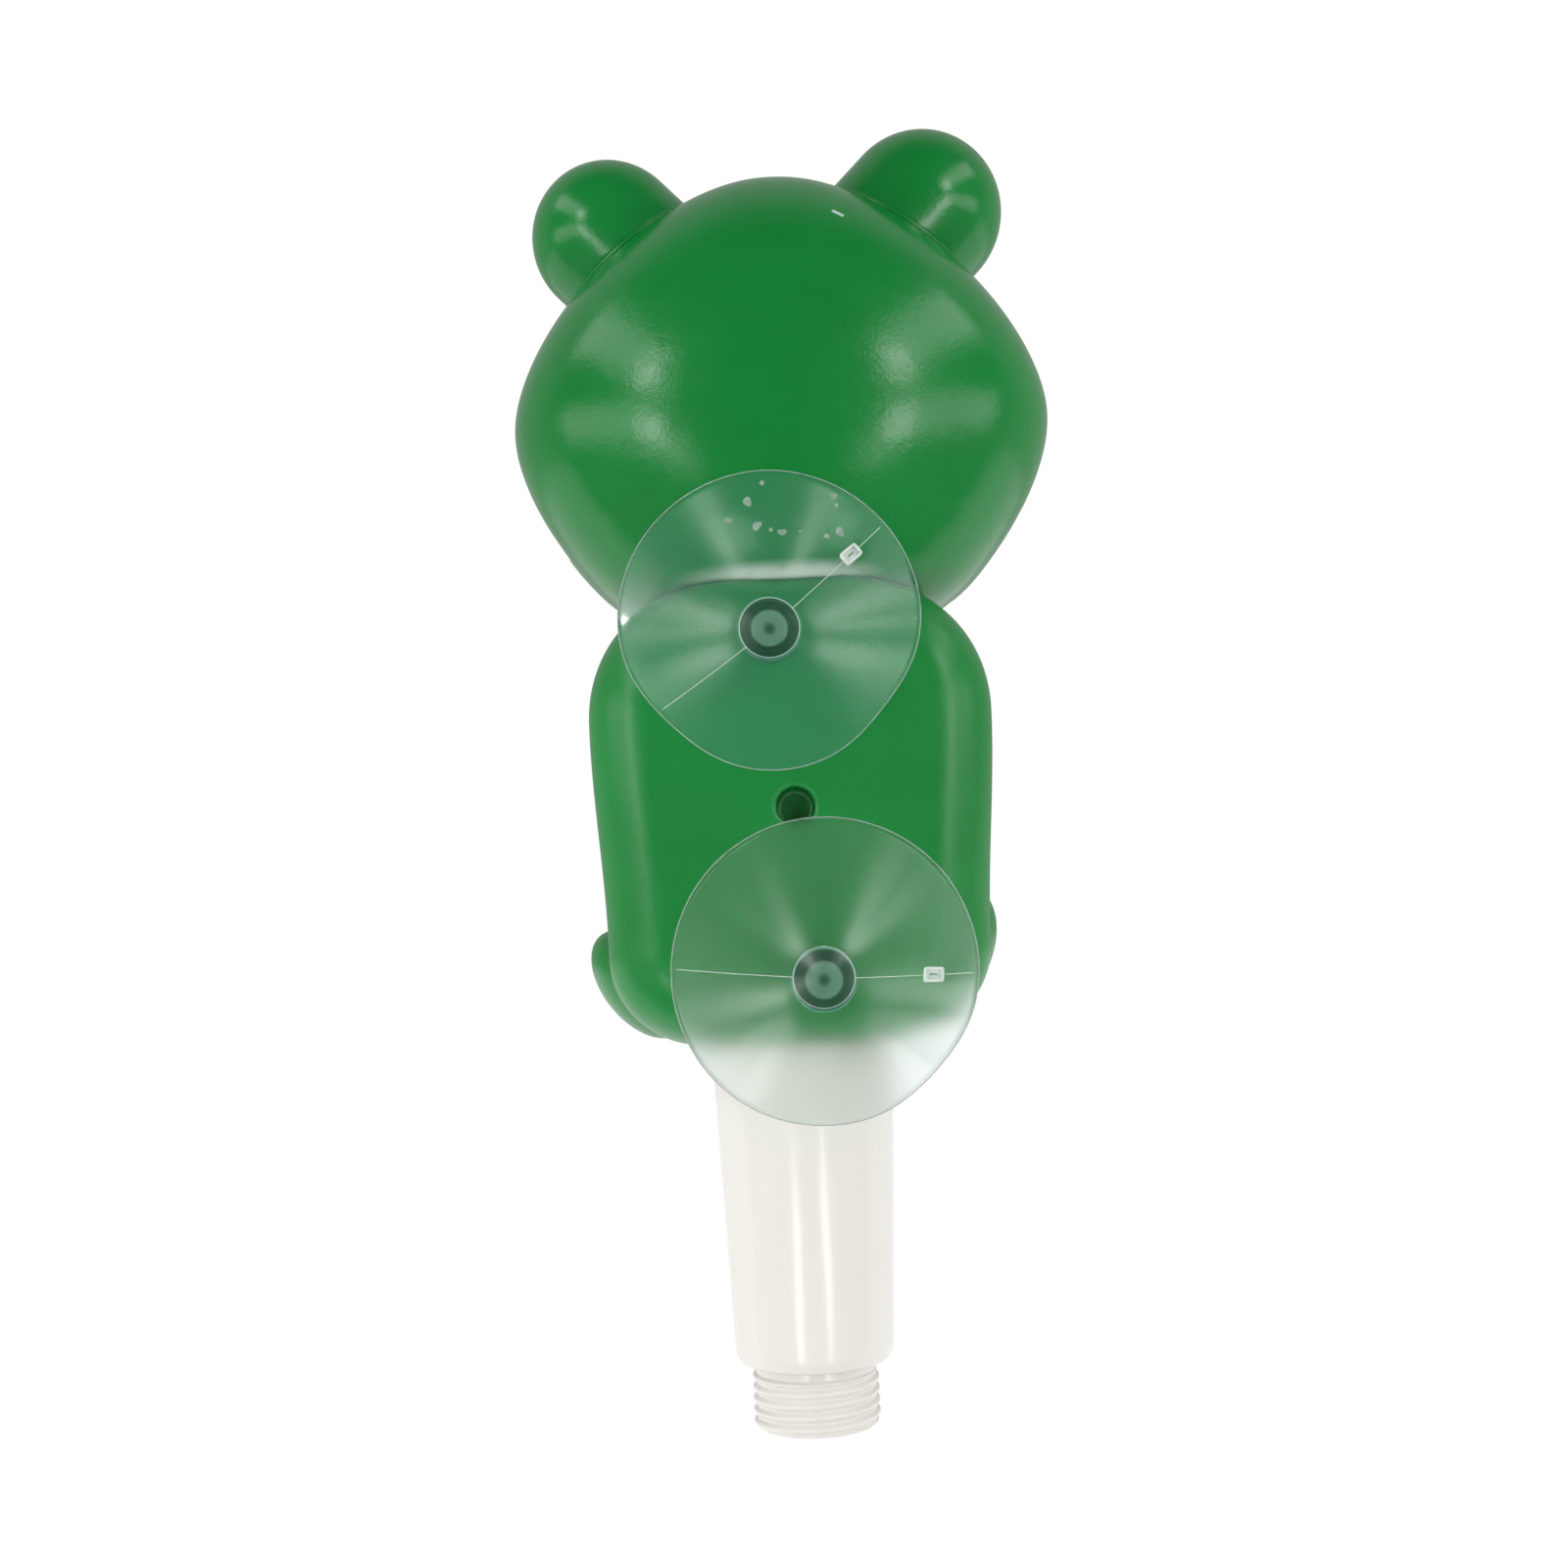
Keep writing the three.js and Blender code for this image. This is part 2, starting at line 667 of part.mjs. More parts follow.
// Disc with a small orifice and a countersunk entry, sealed by a ring in its edge.
function flowRestrictor() {
  return revolveUpright([
    [restrictorOrifice, restrictorHigh],
    [restrictorOrifice, restrictorMiddle],
    [2 * restrictorOrifice, restrictorLow],
    [restrictorRadius, restrictorLow],
    ...ringGroove(restrictorRadius, restrictorMiddle),
    [restrictorRadius, restrictorHigh],
  ], mediumFacets);
}

function restrictorRing() {
  return rubberRing(restrictorRadius, mediumFacets).translate(0, 0, restrictorMiddle);
}

const pilotRadius = faceScrew.shank + clearance;
const counterboreFloor = faceFront - capThickness - faceScrew.headHeight - faceScrew.seal - 3 * clearance;
const screwSeat = counterboreFloor + faceScrew.seal + 2 * clearance;
const postFront = bossBack - clearance;
const chamberFloor = chamberBack + chamberWall;

// Round cup behind the spray face, with a screw post and a socket tube that the water pipe comes into.
function sprayChamber() {
  const cup = toSolid(revolveSpray([
    [0, chamberBack],
    [chamberOutside, chamberBack],
    [chamberOutside, flangeFront - chamberFlange],
    [chamberOutside + flangeReach, flangeFront - chamberFlange],
    [chamberOutside + flangeReach, flangeFront],
    [chamberOutside, flangeFront],
    [chamberOutside, chamberRim],
    [chamberBore, chamberRim],
    [chamberBore, chamberFloor],
    [postRadius, chamberFloor],
    [postRadius, postFront],
    [pilotRadius, postFront],
    [pilotRadius, screwSeat - faceScrew.length - clearance],
    [0, screwSeat - faceScrew.length - clearance],
  ], fineFacets));
  const collarReach = gripTopRadius - gripWall - clearance;
  const collarLow = bodyBottom + clearance;
  const flangeLow = gripTop + clearance;
  const flangeHigh = flangeLow + chamberFlange;
  const portLevel = sprayLevel - postRadius - portRadius - chamberWall;
  const boreTop = portLevel + portRadius;
  const inlet = toSolid(revolveUpright([
    [0, collarLow],
    [collarReach, collarLow],
    [collarReach, flangeLow],
    [gripTopRadius, flangeLow],
    [gripTopRadius, flangeHigh],
    [inletTubeRadius, flangeHigh],
    [inletTubeRadius, boreTop + chamberWall],
    [0, boreTop + chamberWall],
  ], mediumFacets));
  const waterway = toSolid(revolveUpright([
    [0, collarLow - overrun],
    [pipeSocket, collarLow - overrun],
    [pipeSocket, pipeEnd + clearance],
    [pipeBore, pipeEnd + clearance],
    [pipeBore, boreTop],
    [0, boreTop],
  ], mediumFacets));
  const port = rod(portRadius, 0, chamberFloor + overrun, smallFacets).rotateX(Math.PI);
  const cupSpace = sprayRod(chamberBore, chamberFloor, chamberRim, fineFacets);
  const outerInlet = inlet.subtract(cupSpace);
  return cutAll(cup.add(outerInlet), [
    waterway,
    toSolid(port.translate(0, 0, portLevel)),
    handleScrewHole(),
  ]);
}

const nozzlePlaces = nozzleRings.flatMap(({ radius, count }) => {
  return Array.from({ length: count }, (_, i) => {
    const angle = (2 * Math.PI * (i + 0.5)) / count;
    return new THREE.Vector2(radius * Math.cos(angle), radius * Math.sin(angle));
  });
});

const skirtOutside = chamberBore - clearance;
const skirtInside = skirtOutside - skirtThickness;

// Front plate with its nozzle holes, a sealed skirt behind it and a counterbored boss in the middle.
function sprayFace() {
  const skirtEnd = faceBack - skirtLength;
  const grooveMiddle = (skirtEnd + chamberRim) / 2;
  const plate = toSolid(revolveSpray([
    [pilotRadius, bossBack],
    [bossRadius, bossBack],
    [bossRadius, faceBack],
    [skirtInside, faceBack],
    [skirtInside, skirtEnd],
    [skirtOutside, skirtEnd],
    ...ringGroove(skirtOutside, grooveMiddle),
    [skirtOutside, faceBack],
    [chamberOutside, faceBack],
    [chamberOutside, faceFront],
    [counterbore, faceFront],
    [counterbore, counterboreFloor],
    [pilotRadius, counterboreFloor],
  ], fineFacets));
  const holes = nozzlePlaces.map((place) => {
    const hole = rod(nozzleRoot + clearance, -faceFront - overrun, -faceBack + overrun, holeFacets);
    return toSolid(hole.translate(place.x, 0, sprayLevel + place.y));
  });
  return cutAll(plate, holes);
}

function faceSeal() {
  const middle = (faceBack - skirtLength + chamberRim) / 2;
  return rubberRing(skirtOutside, fineFacets).rotateX(Math.PI / 2).translate(0, -middle, sprayLevel);
}

// Soft sheet behind the front plate, with one drilled nozzle for each hole.
function nozzleMat() {
  const front = faceBack - clearance;
  const back = front - matThickness;
  const sheet = toSolid(revolveSpray([
    [bossRadius + clearance, back],
    [skirtInside - clearance, back],
    [skirtInside - clearance, front],
    [bossRadius + clearance, front],
  ], mediumFacets));
  const nozzles = [];
  const bores = [];
  nozzlePlaces.forEach((place) => {
    const tip = faceFront + nozzleProud;
    const cone = revolve([
      [0, -tip],
      [nozzleTip, -tip],
      [nozzleRoot, -front],
      [nozzleRoot, -front + matThickness / 2],
      [0, -front + matThickness / 2],
    ], holeFacets);
    const bore = rod(nozzleBore, -tip - overrun, -back + overrun, holeFacets);
    nozzles.push(toSolid(cone.translate(place.x, 0, sprayLevel + place.y)));
    bores.push(toSolid(bore.translate(place.x, 0, sprayLevel + place.y)));
  });
  return cutAll(joinAll([sheet, ...nozzles]), bores);
}

function centreScrew() {
  const { shank, head, headHeight, length } = faceScrew;
  return revolveSpray([
    [0, screwSeat - length],
    [shank, screwSeat - length],
    [shank, screwSeat],
    [head, screwSeat],
    [head, screwSeat + headHeight / 2],
    [head / 2, screwSeat + headHeight],
    [0, screwSeat + headHeight],
  ], smallFacets);
}

function screwSeal() {
  const low = counterboreFloor + clearance;
  const high = low + faceScrew.seal;
  return revolveSpray([
    [pilotRadius, low],
    [faceScrew.head, low],
    [faceScrew.head, high],
    [pilotRadius, high],
  ], smallFacets);
}

function screwCap() {
  const low = faceFront - capThickness;
  return revolveSpray([
    [0, low],
    [capRadius, low],
    [capRadius, faceFront - capThickness / 4],
    [capRadius - capThickness / 4, faceFront],
    [0, faceFront],
  ], mediumFacets);
}

// Ring that clamps the skin's lip against the chamber's flange.
function bezelRing() {
  const back = collarFront + clearance;
  return revolveSpray([
    [bezelInside, flangeFront + clearance],
    [bezelOutside, flangeFront + clearance],
    [bezelOutside, back],
    [bezelReach, back],
    ...quarterRound(bezelReach - bezelEdge, bezelFront - bezelEdge, bezelEdge, 0, Math.PI / 2),
    [bezelInside, bezelFront],
  ], fineFacets);
}

// Suction cup: knob and neck in the socket, hub, and a thin bowl that ends in a flat rim.
function suctionCup({ across, level }) {
  const back = torsoBack;
  const hubLow = back + clearance;
  const hubHigh = hubLow + cupHubHeight;
  const knobLow = back - socketDepth + clearance;
  const rimHigh = back + cupReach;
  const rimLow = rimHigh - cupRimEdge;
  const lipRadius = cupRadius - cupRimWidth;
  const bowlSteps = 4;
  const outer = Array.from({ length: bowlSteps + 1 }, (_, i) => {
    const share = i / bowlSteps;
    const radius = THREE.MathUtils.lerp(cupHubRadius, cupRadius, share);
    return [radius, hubHigh + (rimLow - hubHigh) * share ** cupFlare];
  });
  const inner = Array.from({ length: bowlSteps + 1 }, (_, i) => {
    const share = 1 - i / bowlSteps;
    const depth = rimHigh - hubHigh - cupWeb;
    return [lipRadius * share, rimHigh - depth * (1 - share ** cupHollow)];
  });
  const cup = revolve([
    [0, knobLow],
    [cupKnobRadius / 2, knobLow],
    [cupKnobRadius, knobLow + cupKnobHeight / 2],
    [cupKnobRadius, knobLow + cupKnobHeight],
    [cupNeck, knobLow + cupKnobHeight],
    [cupNeck, hubLow],
    [cupHubRadius, hubLow],
    ...outer,
    [cupRadius, rimHigh],
    ...inner,
  ], cupFacets);
  return cup.translate(across, 0, level);
}

const torsoSpace = torsoForm(-clearance);
const headSpace = headForm(-clearance, headUnderside);
const headBacking = headForm(-clearance - vinylWall, headUnderside);

addPiece('torso_skin', toGeometry(torsoSkin()), 'vinyl');
addPiece('head_skin', toGeometry(headSkin(torsoSpace)), 'vinyl');
addPiece('eye_right', toGeometry(eye(-1, headSpace, headBacking)), 'vinyl');
addPiece('eye_left', toGeometry(eye(1, headSpace, headBacking)), 'vinyl');
addPiece('handle', toGeometry(handle()), 'whitePlastic');
addPiece('handle_screw_right', toGeometry(toSolid(handleScrew(-1))), 'steel');
addPiece('handle_screw_left', toGeometry(toSolid(handleScrew(1))), 'steel');
addPiece('water_pipe', toGeometry(toSolid(waterPipe())), 'greyPlastic');
addPiece('pipe_ring_lower', pipeRing(lowerRingLevel), 'rubber');
addPiece('pipe_ring_upper', pipeRing(upperRingLevel), 'rubber');
addPiece('inlet_filter', inletFilter(), 'greyPlastic');
addPiece('flow_restrictor', toGeometry(toSolid(flowRestrictor())), 'greyPlastic');
addPiece('restrictor_ring', restrictorRing(), 'rubber');
addPiece('spray_chamber', toGeometry(sprayChamber()), 'greyPlastic');
addPiece('spray_face', toGeometry(sprayFace()), 'whitePlastic');
addPiece('face_seal', faceSeal(), 'rubber');
addPiece('nozzle_mat', toGeometry(nozzleMat()), 'nozzleRubber');
addPiece('face_screw', toGeometry(toSolid(centreScrew())), 'steel');
addPiece('screw_seal', toGeometry(toSolid(screwSeal())), 'rubber');
addPiece('screw_cap', toGeometry(toSolid(screwCap())), 'whitePlastic');
addPiece('bezel_ring', toGeometry(toSolid(bezelRing())), 'whitePlastic');
addPiece('suction_cup_lower', toGeometry(toSolid(suctionCup(lowerCup))), 'clearCup');
addPiece('suction_cup_upper', toGeometry(toSolid(suctionCup(upperCup))), 'clearCup');

part.position.set(0, -wallPlane, -middleLevel);

export default part;
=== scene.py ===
import math

import bmesh
import bpy
import numpy as np
from mathutils import Matrix, Quaternion, Vector


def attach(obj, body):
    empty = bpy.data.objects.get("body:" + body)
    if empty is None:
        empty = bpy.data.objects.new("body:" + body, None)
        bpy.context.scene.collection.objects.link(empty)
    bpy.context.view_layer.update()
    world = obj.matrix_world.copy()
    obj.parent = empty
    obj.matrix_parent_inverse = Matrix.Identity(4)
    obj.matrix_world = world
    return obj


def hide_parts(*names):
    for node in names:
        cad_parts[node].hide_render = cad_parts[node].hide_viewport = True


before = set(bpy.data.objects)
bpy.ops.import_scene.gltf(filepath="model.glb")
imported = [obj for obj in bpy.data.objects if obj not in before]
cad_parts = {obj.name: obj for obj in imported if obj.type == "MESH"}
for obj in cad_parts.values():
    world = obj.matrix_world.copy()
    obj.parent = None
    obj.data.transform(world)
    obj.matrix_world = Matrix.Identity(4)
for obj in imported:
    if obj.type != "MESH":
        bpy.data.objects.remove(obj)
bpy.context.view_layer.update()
scene = bpy.context.scene
scene.view_settings.view_transform = "Standard"

# forms are worked out in millimetres above the hose thread's end face, then moved to the frame's origin
seat = np.array([0.0, 40.0, 100.4])
fullTurn = 2 * math.pi


def toRow(points):
    return (np.asarray(points, float) - seat) * 0.001


# a node's socket that takes part in Python expressions
class Link:
    def __init__(self, finish, socket):
        self.finish = finish
        self.socket = socket

    def maths(self, operation, first, second):
        return self.finish.add("ShaderNodeMath", {"operation": operation}, {0: first, 1: second})

    def __add__(self, other):
        return self.maths("ADD", self, other)

    def __radd__(self, other):
        return self.maths("ADD", other, self)

    def __sub__(self, other):
        return self.maths("SUBTRACT", self, other)

    def __rsub__(self, other):
        return self.maths("SUBTRACT", other, self)

    def __mul__(self, other):
        return self.maths("MULTIPLY", self, other)

    def __rmul__(self, other):
        return self.maths("MULTIPLY", other, self)


# one material or world, built node by node
class Finish:
    def __init__(self, name, owner=None):
        self.owner = owner or bpy.data.materials.new(name)
        self.owner.use_nodes = True
        self.tree = self.owner.node_tree
        self.tree.nodes.clear()

    # a node's type, its settings, then the values or links of its sockets
    def add(self, kind, settings=None, values=None, out=0):
        node = self.tree.nodes.new(kind)
        for key, value in (settings or {}).items():
            setattr(node, key, value)
        for key, value in (values or {}).items():
            if isinstance(value, Link):
                self.tree.links.new(value.socket, node.inputs[key])
            else:
                node.inputs[key].default_value = value
        return Link(self, node.outputs[out]) if node.outputs else node

    def place(self):
        return self.add("ShaderNodeTexCoord", out="Object")

    def noise(self, scale, detail=2.0, rough=0.5):
        return self.add("ShaderNodeTexNoise", {}, {"Vector": self.place(), "Scale": scale,
                                                   "Detail": detail, "Roughness": rough})

    def vector(self, operation, *values, out=0):
        return self.add("ShaderNodeVectorMath", {"operation": operation}, dict(enumerate(values)), out)

    def split(self, value, axis):
        return self.add("ShaderNodeSeparateXYZ", {}, {0: value}, out=axis)

    def mixColour(self, share, first, second):
        return self.add("ShaderNodeMix", {"data_type": "RGBA"}, {0: share, 6: first, 7: second}, out=2)

    # smooth step from 0 to 1, which falls where low is the greater
    def between(self, value, low, high):
        return self.add("ShaderNodeMapRange", {"interpolation_type": "SMOOTHSTEP"}, {0: value, 1: low, 2: high})

    def bump(self, height, distance):
        return self.add("ShaderNodeBump", {}, {"Height": height, "Strength": 1.0, "Distance": distance})

    def lightPath(self, name):
        return self.add("ShaderNodeLightPath", out=name)

    def mixShader(self, share, first, second):
        return self.add("ShaderNodeMixShader", {}, {0: share, 1: first, 2: second})

    def done(self, shader, kind="ShaderNodeOutputMaterial"):
        self.add(kind, {}, {"Surface": shader})
        return self.owner


def colour(red, green, blue):
    return (red, green, blue, 1.0)


# green soft vinyl: semi-gloss head and satin body, with fine orange peel and faint drifts of colour; the head's
# and eyes' green is painted darker than the body's, as painted shade
vinylLook = {"head": {"green": (0.0040, 0.189, 0.032), "deep": (0.0030, 0.168, 0.026), "rough": 0.215},
             "body": {"green": (0.0046, 0.203, 0.035), "deep": (0.0034, 0.180, 0.028), "rough": 0.33},
             "driftScale": 38.0, "drift": (0.3, 0.7), "roughScale": 150.0, "roughSpan": 0.07,
             "peel": 0.000024, "peelScale": 1500.0, "swell": 2.2, "swellScale": 250.0}


def vinylBase(finish, look):
    drift = finish.between(finish.noise(vinylLook["driftScale"], 3.0), *vinylLook["drift"])
    green = finish.mixColour(drift, colour(*look["deep"]), colour(*look["green"]))
    peel = finish.noise(vinylLook["peelScale"], 2.0, 0.45)
    peel = peel + vinylLook["swell"] * finish.noise(vinylLook["swellScale"], 1.0)
    rough = look["rough"] + vinylLook["roughSpan"] * (finish.noise(vinylLook["roughScale"], 3.0) - 0.5)
    return green, rough, peel


def vinylDone(finish, green, rough, peel):
    return finish.done(finish.add("ShaderNodeBsdfPrincipled", {}, {
        "Base Color": green, "Roughness": rough, "IOR": 1.5, "Normal": finish.bump(peel, vinylLook["peel"])}))


# painted highlight: a pale band along the head's lower edge, strongest behind the neck
paintedNeckHighlight = {"pale": (0.72, 0.73, 0.68), "level": 0.0370, "fall": 1.5, "high": 0.0031, "low": 0.0007,
         "left": (0.021, 0.003), "right": (-0.018, -0.005), "back": (-0.035, -0.025),
         "patchScale": 240.0, "patch": (0.05, 0.45)}


def paintNeckHighlight(finish, green):
    x, y, z = (finish.split(finish.place(), axis) for axis in range(3))
    above = z - paintedNeckHighlight["level"] + paintedNeckHighlight["fall"] * x * x
    band = finish.between(above, paintedNeckHighlight["high"], paintedNeckHighlight["low"])
    along = finish.between(x, *paintedNeckHighlight["left"]) * finish.between(x, *paintedNeckHighlight["right"])
    along = along * finish.between(y, *paintedNeckHighlight["back"])
    patchy = band * along * finish.between(finish.noise(paintedNeckHighlight["patchScale"], 3.0), *paintedNeckHighlight["patch"])
    return finish.mixColour(patchy, green, colour(*paintedNeckHighlight["pale"]))


# small pale scuff beside the right eye
scuff = {"pale": (0.50, 0.64, 0.61), "centre": (-0.01118, -0.01985, 0.09753), "reach": (0.003, 0.0025),
         "along": (-0.82, 0.18, -0.55), "alongHalf": (0.00125, 0.0009),
         "across": (-0.55, 0.0, 0.83), "acrossHalf": (0.00042, 0.00012)}


def scuffMark(finish, green):
    away = finish.vector("SUBTRACT", finish.place(), scuff["centre"])
    share = finish.between(finish.vector("LENGTH", away, out=1), *scuff["reach"])
    for way in ("along", "across"):
        off = finish.vector("DOT_PRODUCT", away, scuff[way], out=1)
        off = finish.add("ShaderNodeMath", {"operation": "ABSOLUTE"}, {0: off})
        share = share * finish.between(off, *scuff[way + "Half"])
    return finish.mixColour(share, green, colour(*scuff["pale"]))


def bodyFinish(name):
    finish = Finish(name)
    return vinylDone(finish, *vinylBase(finish, vinylLook["body"]))


# the head's green is painted darker than the body's: painted shade
def headFinish(name):
    finish = Finish(name)
    green, rough, peel = vinylBase(finish, vinylLook["head"])
    # the pale band along the head's lower edge is a painted highlight
    return vinylDone(finish, scuffMark(finish, paintNeckHighlight(finish, green)), rough, peel)


# the eyes carry glossy printed paint on their front: white, with a black pupil on it
eyePaint = {"white": (0.80, 0.79, 0.76), "black": (0.006, 0.006, 0.007), "look": (0.20, -0.93, 0.30),
            "whiteReach": 39.0, "pupilReach": 20.0, "pupilShift": (0.06, 0.0, -0.02), "edge": 0.006,
            "gloss": 0.12, "whiteThick": 6.0, "pupilThick": 4.0}


def eyeFinish(name, centre, side):
    finish = Finish(name)
    # the eyes take the head's darker green, which is painted shade
    green, rough, peel = vinylBase(finish, vinylLook["head"])
    ray = finish.vector("NORMALIZE", finish.vector("SUBTRACT", finish.place(), tuple(toRow(centre))))

    def spot(direction, reach):
        facing = finish.vector("DOT_PRODUCT", ray, tuple(Vector(direction).normalized()), out=1)
        limit = math.cos(math.radians(reach))
        return finish.between(facing, limit - eyePaint["edge"], limit + eyePaint["edge"])

    look = np.array(eyePaint["look"]) * (side, 1, 1)
    pupilLook = look + np.array(eyePaint["pupilShift"]) * (-side, 1, 1)
    white = spot(look, eyePaint["whiteReach"])
    pupil = spot(pupilLook, eyePaint["pupilReach"])
    painted = finish.mixColour(white, green, colour(*eyePaint["white"]))
    painted = finish.mixColour(pupil, painted, colour(*eyePaint["black"]))
    raised = peel + eyePaint["whiteThick"] * white + eyePaint["pupilThick"] * pupil
    return vinylDone(finish, painted, rough - eyePaint["gloss"] * white, raised)


# warm white moulded plastic, with faint flow and handling marks
whiteLook = {"white": (0.715, 0.70, 0.655), "warm": (0.69, 0.67, 0.62), "driftScale": 22.0, "drift": (0.2, 0.85),
             "rough": 0.345, "roughScale": 210.0, "roughSpan": 0.1, "coat": 0.7, "coatRough": 0.14,
             "grainScale": 300.0, "grain": 0.000012}


def whiteFinish(name):
    finish = Finish(name)
    drift = finish.between(finish.noise(whiteLook["driftScale"], 2.0), *whiteLook["drift"])
    rough = whiteLook["rough"] + whiteLook["roughSpan"] * (finish.noise(whiteLook["roughScale"], 4.0) - 0.5)
    return finish.done(finish.add("ShaderNodeBsdfPrincipled", {}, {
        "Base Color": finish.mixColour(drift, colour(*whiteLook["white"]), colour(*whiteLook["warm"])),
        "Roughness": rough, "IOR": 1.5, "Coat Weight": whiteLook["coat"], "Coat Roughness": whiteLook["coatRough"],
        "Normal": finish.bump(finish.noise(whiteLook["grainScale"], 2.0), whiteLook["grain"])}))


# clear soft PVC: a thin sheet, faintly milky, with a thick hub whose rings round the stem are painted shade
clearLook = {"tint": (0.81, 0.86, 0.835), "mark": (0.72, 0.79, 0.76), "markScale": 260.0, "marks": (0.60, 0.72),
             "markTint": 0.4, "markBlur": 0.04, "shade": (0.93, 0.96, 0.94), "milk": (0.25, 0.74, 0.60),
             "sheetBend": 1.12, "bend": 1.45, "coatRough": 0.2, "ripple": 0.00003, "rippleScale": 120.0,
             # the hub's ring, core and middle colours below are painted shade round the stem
             "hub": (0.010, 0.054, 0.029), "hubReach": (0.0050, 0.0045), "hubHaze": 0.66,
             "hubRough": 0.3, "hubScale": 700.0, "coreShade": (0.125, 0.28, 0.195), "coreReach": (0.0031, 0.0026),
             "dipShade": (0.03, 0.11, 0.06), "dipReach": (0.0014, 0.0003)}


def clearFinish(name, across, level, own):
    finish = Finish(name)
    aside = finish.vector("SUBTRACT", finish.place(), tuple(toRow((across, 0, level))))
    radius = finish.vector("LENGTH", finish.vector("MULTIPLY", aside, (1, 0, 1)), out=1)
    marks = finish.between(finish.noise(clearLook["markScale"], 4.0, 0.6), *clearLook["marks"])
    tint = finish.mixColour(clearLook["markTint"] * marks, colour(*clearLook["tint"]), colour(*clearLook["mark"]))
    sheet = finish.add("ShaderNodeBsdfPrincipled", {}, {
        "Base Color": tint, "Roughness": own["blur"] + clearLook["markBlur"] * marks,
        "IOR": clearLook["sheetBend"], "Transmission Weight": 1.0, "Coat Weight": own["gloss"],
        "Coat Roughness": clearLook["coatRough"], "Coat IOR": clearLook["bend"],
        "Normal": finish.bump(finish.noise(clearLook["rippleScale"], 2.0), clearLook["ripple"])})
    # the thick hub is cloudy, with painted shade: darkest in a ring round its core, lighter in the core, dark
    # again at the middle
    hub = finish.between(radius, *clearLook["hubReach"])
    tone = finish.mixColour(finish.between(radius, *clearLook["coreReach"]), colour(*clearLook["hub"]),
                            colour(*clearLook["coreShade"]))
    tone = finish.mixColour(finish.between(radius, *clearLook["dipReach"]), tone, colour(*clearLook["dipShade"]))
    tone = finish.mixColour(hub, colour(*clearLook["milk"]), tone)
    cloud = finish.add("ShaderNodeBsdfPrincipled", {}, {
        "Base Color": tone, "Roughness": clearLook["hubRough"], "IOR": clearLook["bend"], "Coat Weight": 1.0,
        "Coat Roughness": clearLook["coatRough"],
        "Normal": finish.bump(finish.noise(clearLook["hubScale"], 2.0), clearLook["ripple"])})
    whole = finish.mixShader(own["haze"] + (clearLook["hubHaze"] - own["haze"]) * hub, sheet, cloud)
    shadow = finish.add("ShaderNodeBsdfTransparent", {}, {"Color": colour(*clearLook["shade"])})
    return finish.done(finish.mixShader(finish.lightPath("Is Shadow Ray"), whole, shadow))


# frosted parts of the cups: the pull tab with the mould lines, and dried drops of water; the pale beads at the
# rim's edge and round the hub are painted highlight lines
frostLooks = {"frostedTabAndHubHighlight": {"first": (0.72, 0.78, 0.75), "second": (0.86, 0.90, 0.88), "through": 0.3},
              "rimEdge": {"first": (0.36, 0.40, 0.39), "second": (0.47, 0.51, 0.50), "through": 0.3},
              "driedDrops": {"first": (0.30, 0.42, 0.35), "second": (0.50, 0.61, 0.54), "through": 0.6}}


def frostFinish(name):
    look = frostLooks[name]
    finish = Finish(name)
    grain = finish.noise(900.0, 3.0)
    tone = finish.mixColour(finish.between(grain, 0.3, 0.7), colour(*look["first"]), colour(*look["second"]))
    return finish.done(finish.add("ShaderNodeBsdfPrincipled", {}, {
        "Base Color": tone, "Roughness": 0.25 + 0.3 * grain, "IOR": 1.45, "Transmission Weight": look["through"],
        "Normal": finish.bump(grain, 0.00003)}))


# plain working materials for the inner pieces
innerLooks = {
    "innerPlastic": {"first": (0.46, 0.49, 0.52), "second": (0.52, 0.55, 0.57),
                     "rough": 0.5, "metal": 0.0, "scale": 220.0},
    "sealRubber": {"first": (0.014, 0.015, 0.017), "second": (0.024, 0.025, 0.027),
                   "rough": 0.72, "metal": 0.0, "scale": 600.0},
    "nozzleRubber": {"first": (0.15, 0.18, 0.20), "second": (0.19, 0.22, 0.24),
                     "rough": 0.66, "metal": 0.0, "scale": 700.0},
    "steel": {"first": (0.45, 0.46, 0.47), "second": (0.56, 0.57, 0.58),
              "rough": 0.32, "metal": 1.0, "scale": 500.0},
}


def innerFinish(name):
    look = innerLooks[name]
    finish = Finish(name)
    grain = finish.noise(look["scale"], 3.0)
    tone = finish.mixColour(finish.between(grain, 0.35, 0.65), colour(*look["first"]), colour(*look["second"]))
    return finish.done(finish.add("ShaderNodeBsdfPrincipled", {}, {
        "Base Color": tone, "Roughness": look["rough"] + 0.15 * (grain - 0.5), "Metallic": look["metal"],
        "Normal": finish.bump(grain, 0.00001)}))


bodyVinyl = bodyFinish("bodyVinyl")
headVinyl = headFinish("headVinyl")
white = whiteFinish("whitePlastic")
frost = {name: frostFinish(name) for name in frostLooks}
inner = {name: innerFinish(name) for name in innerLooks}
print("finishes made")


# rounded union and rounded cut of two distance fields
def merged(first, second, rounding):
    near = np.clip(rounding - np.abs(first - second), 0, None) / rounding
    return np.minimum(first, second) - near * near * rounding / 4


def carved(form, cutter, rounding):
    return -merged(-form, cutter, rounding)


def eased(value, low, high):
    share = np.clip((value - low) / (high - low), 0, 1)
    return share * share * (3 - 2 * share)


# how far a round edge has drawn in at a share of its height
def drawnIn(share):
    share = np.clip(share, 0, 1)
    return 1 - np.sqrt(1 - share * share)


# the same rounding, stopped just short of its steep end
def rolledIn(share, end=0.97):
    return drawnIn(end * np.clip(share, 0, 1)) / drawnIn(end)


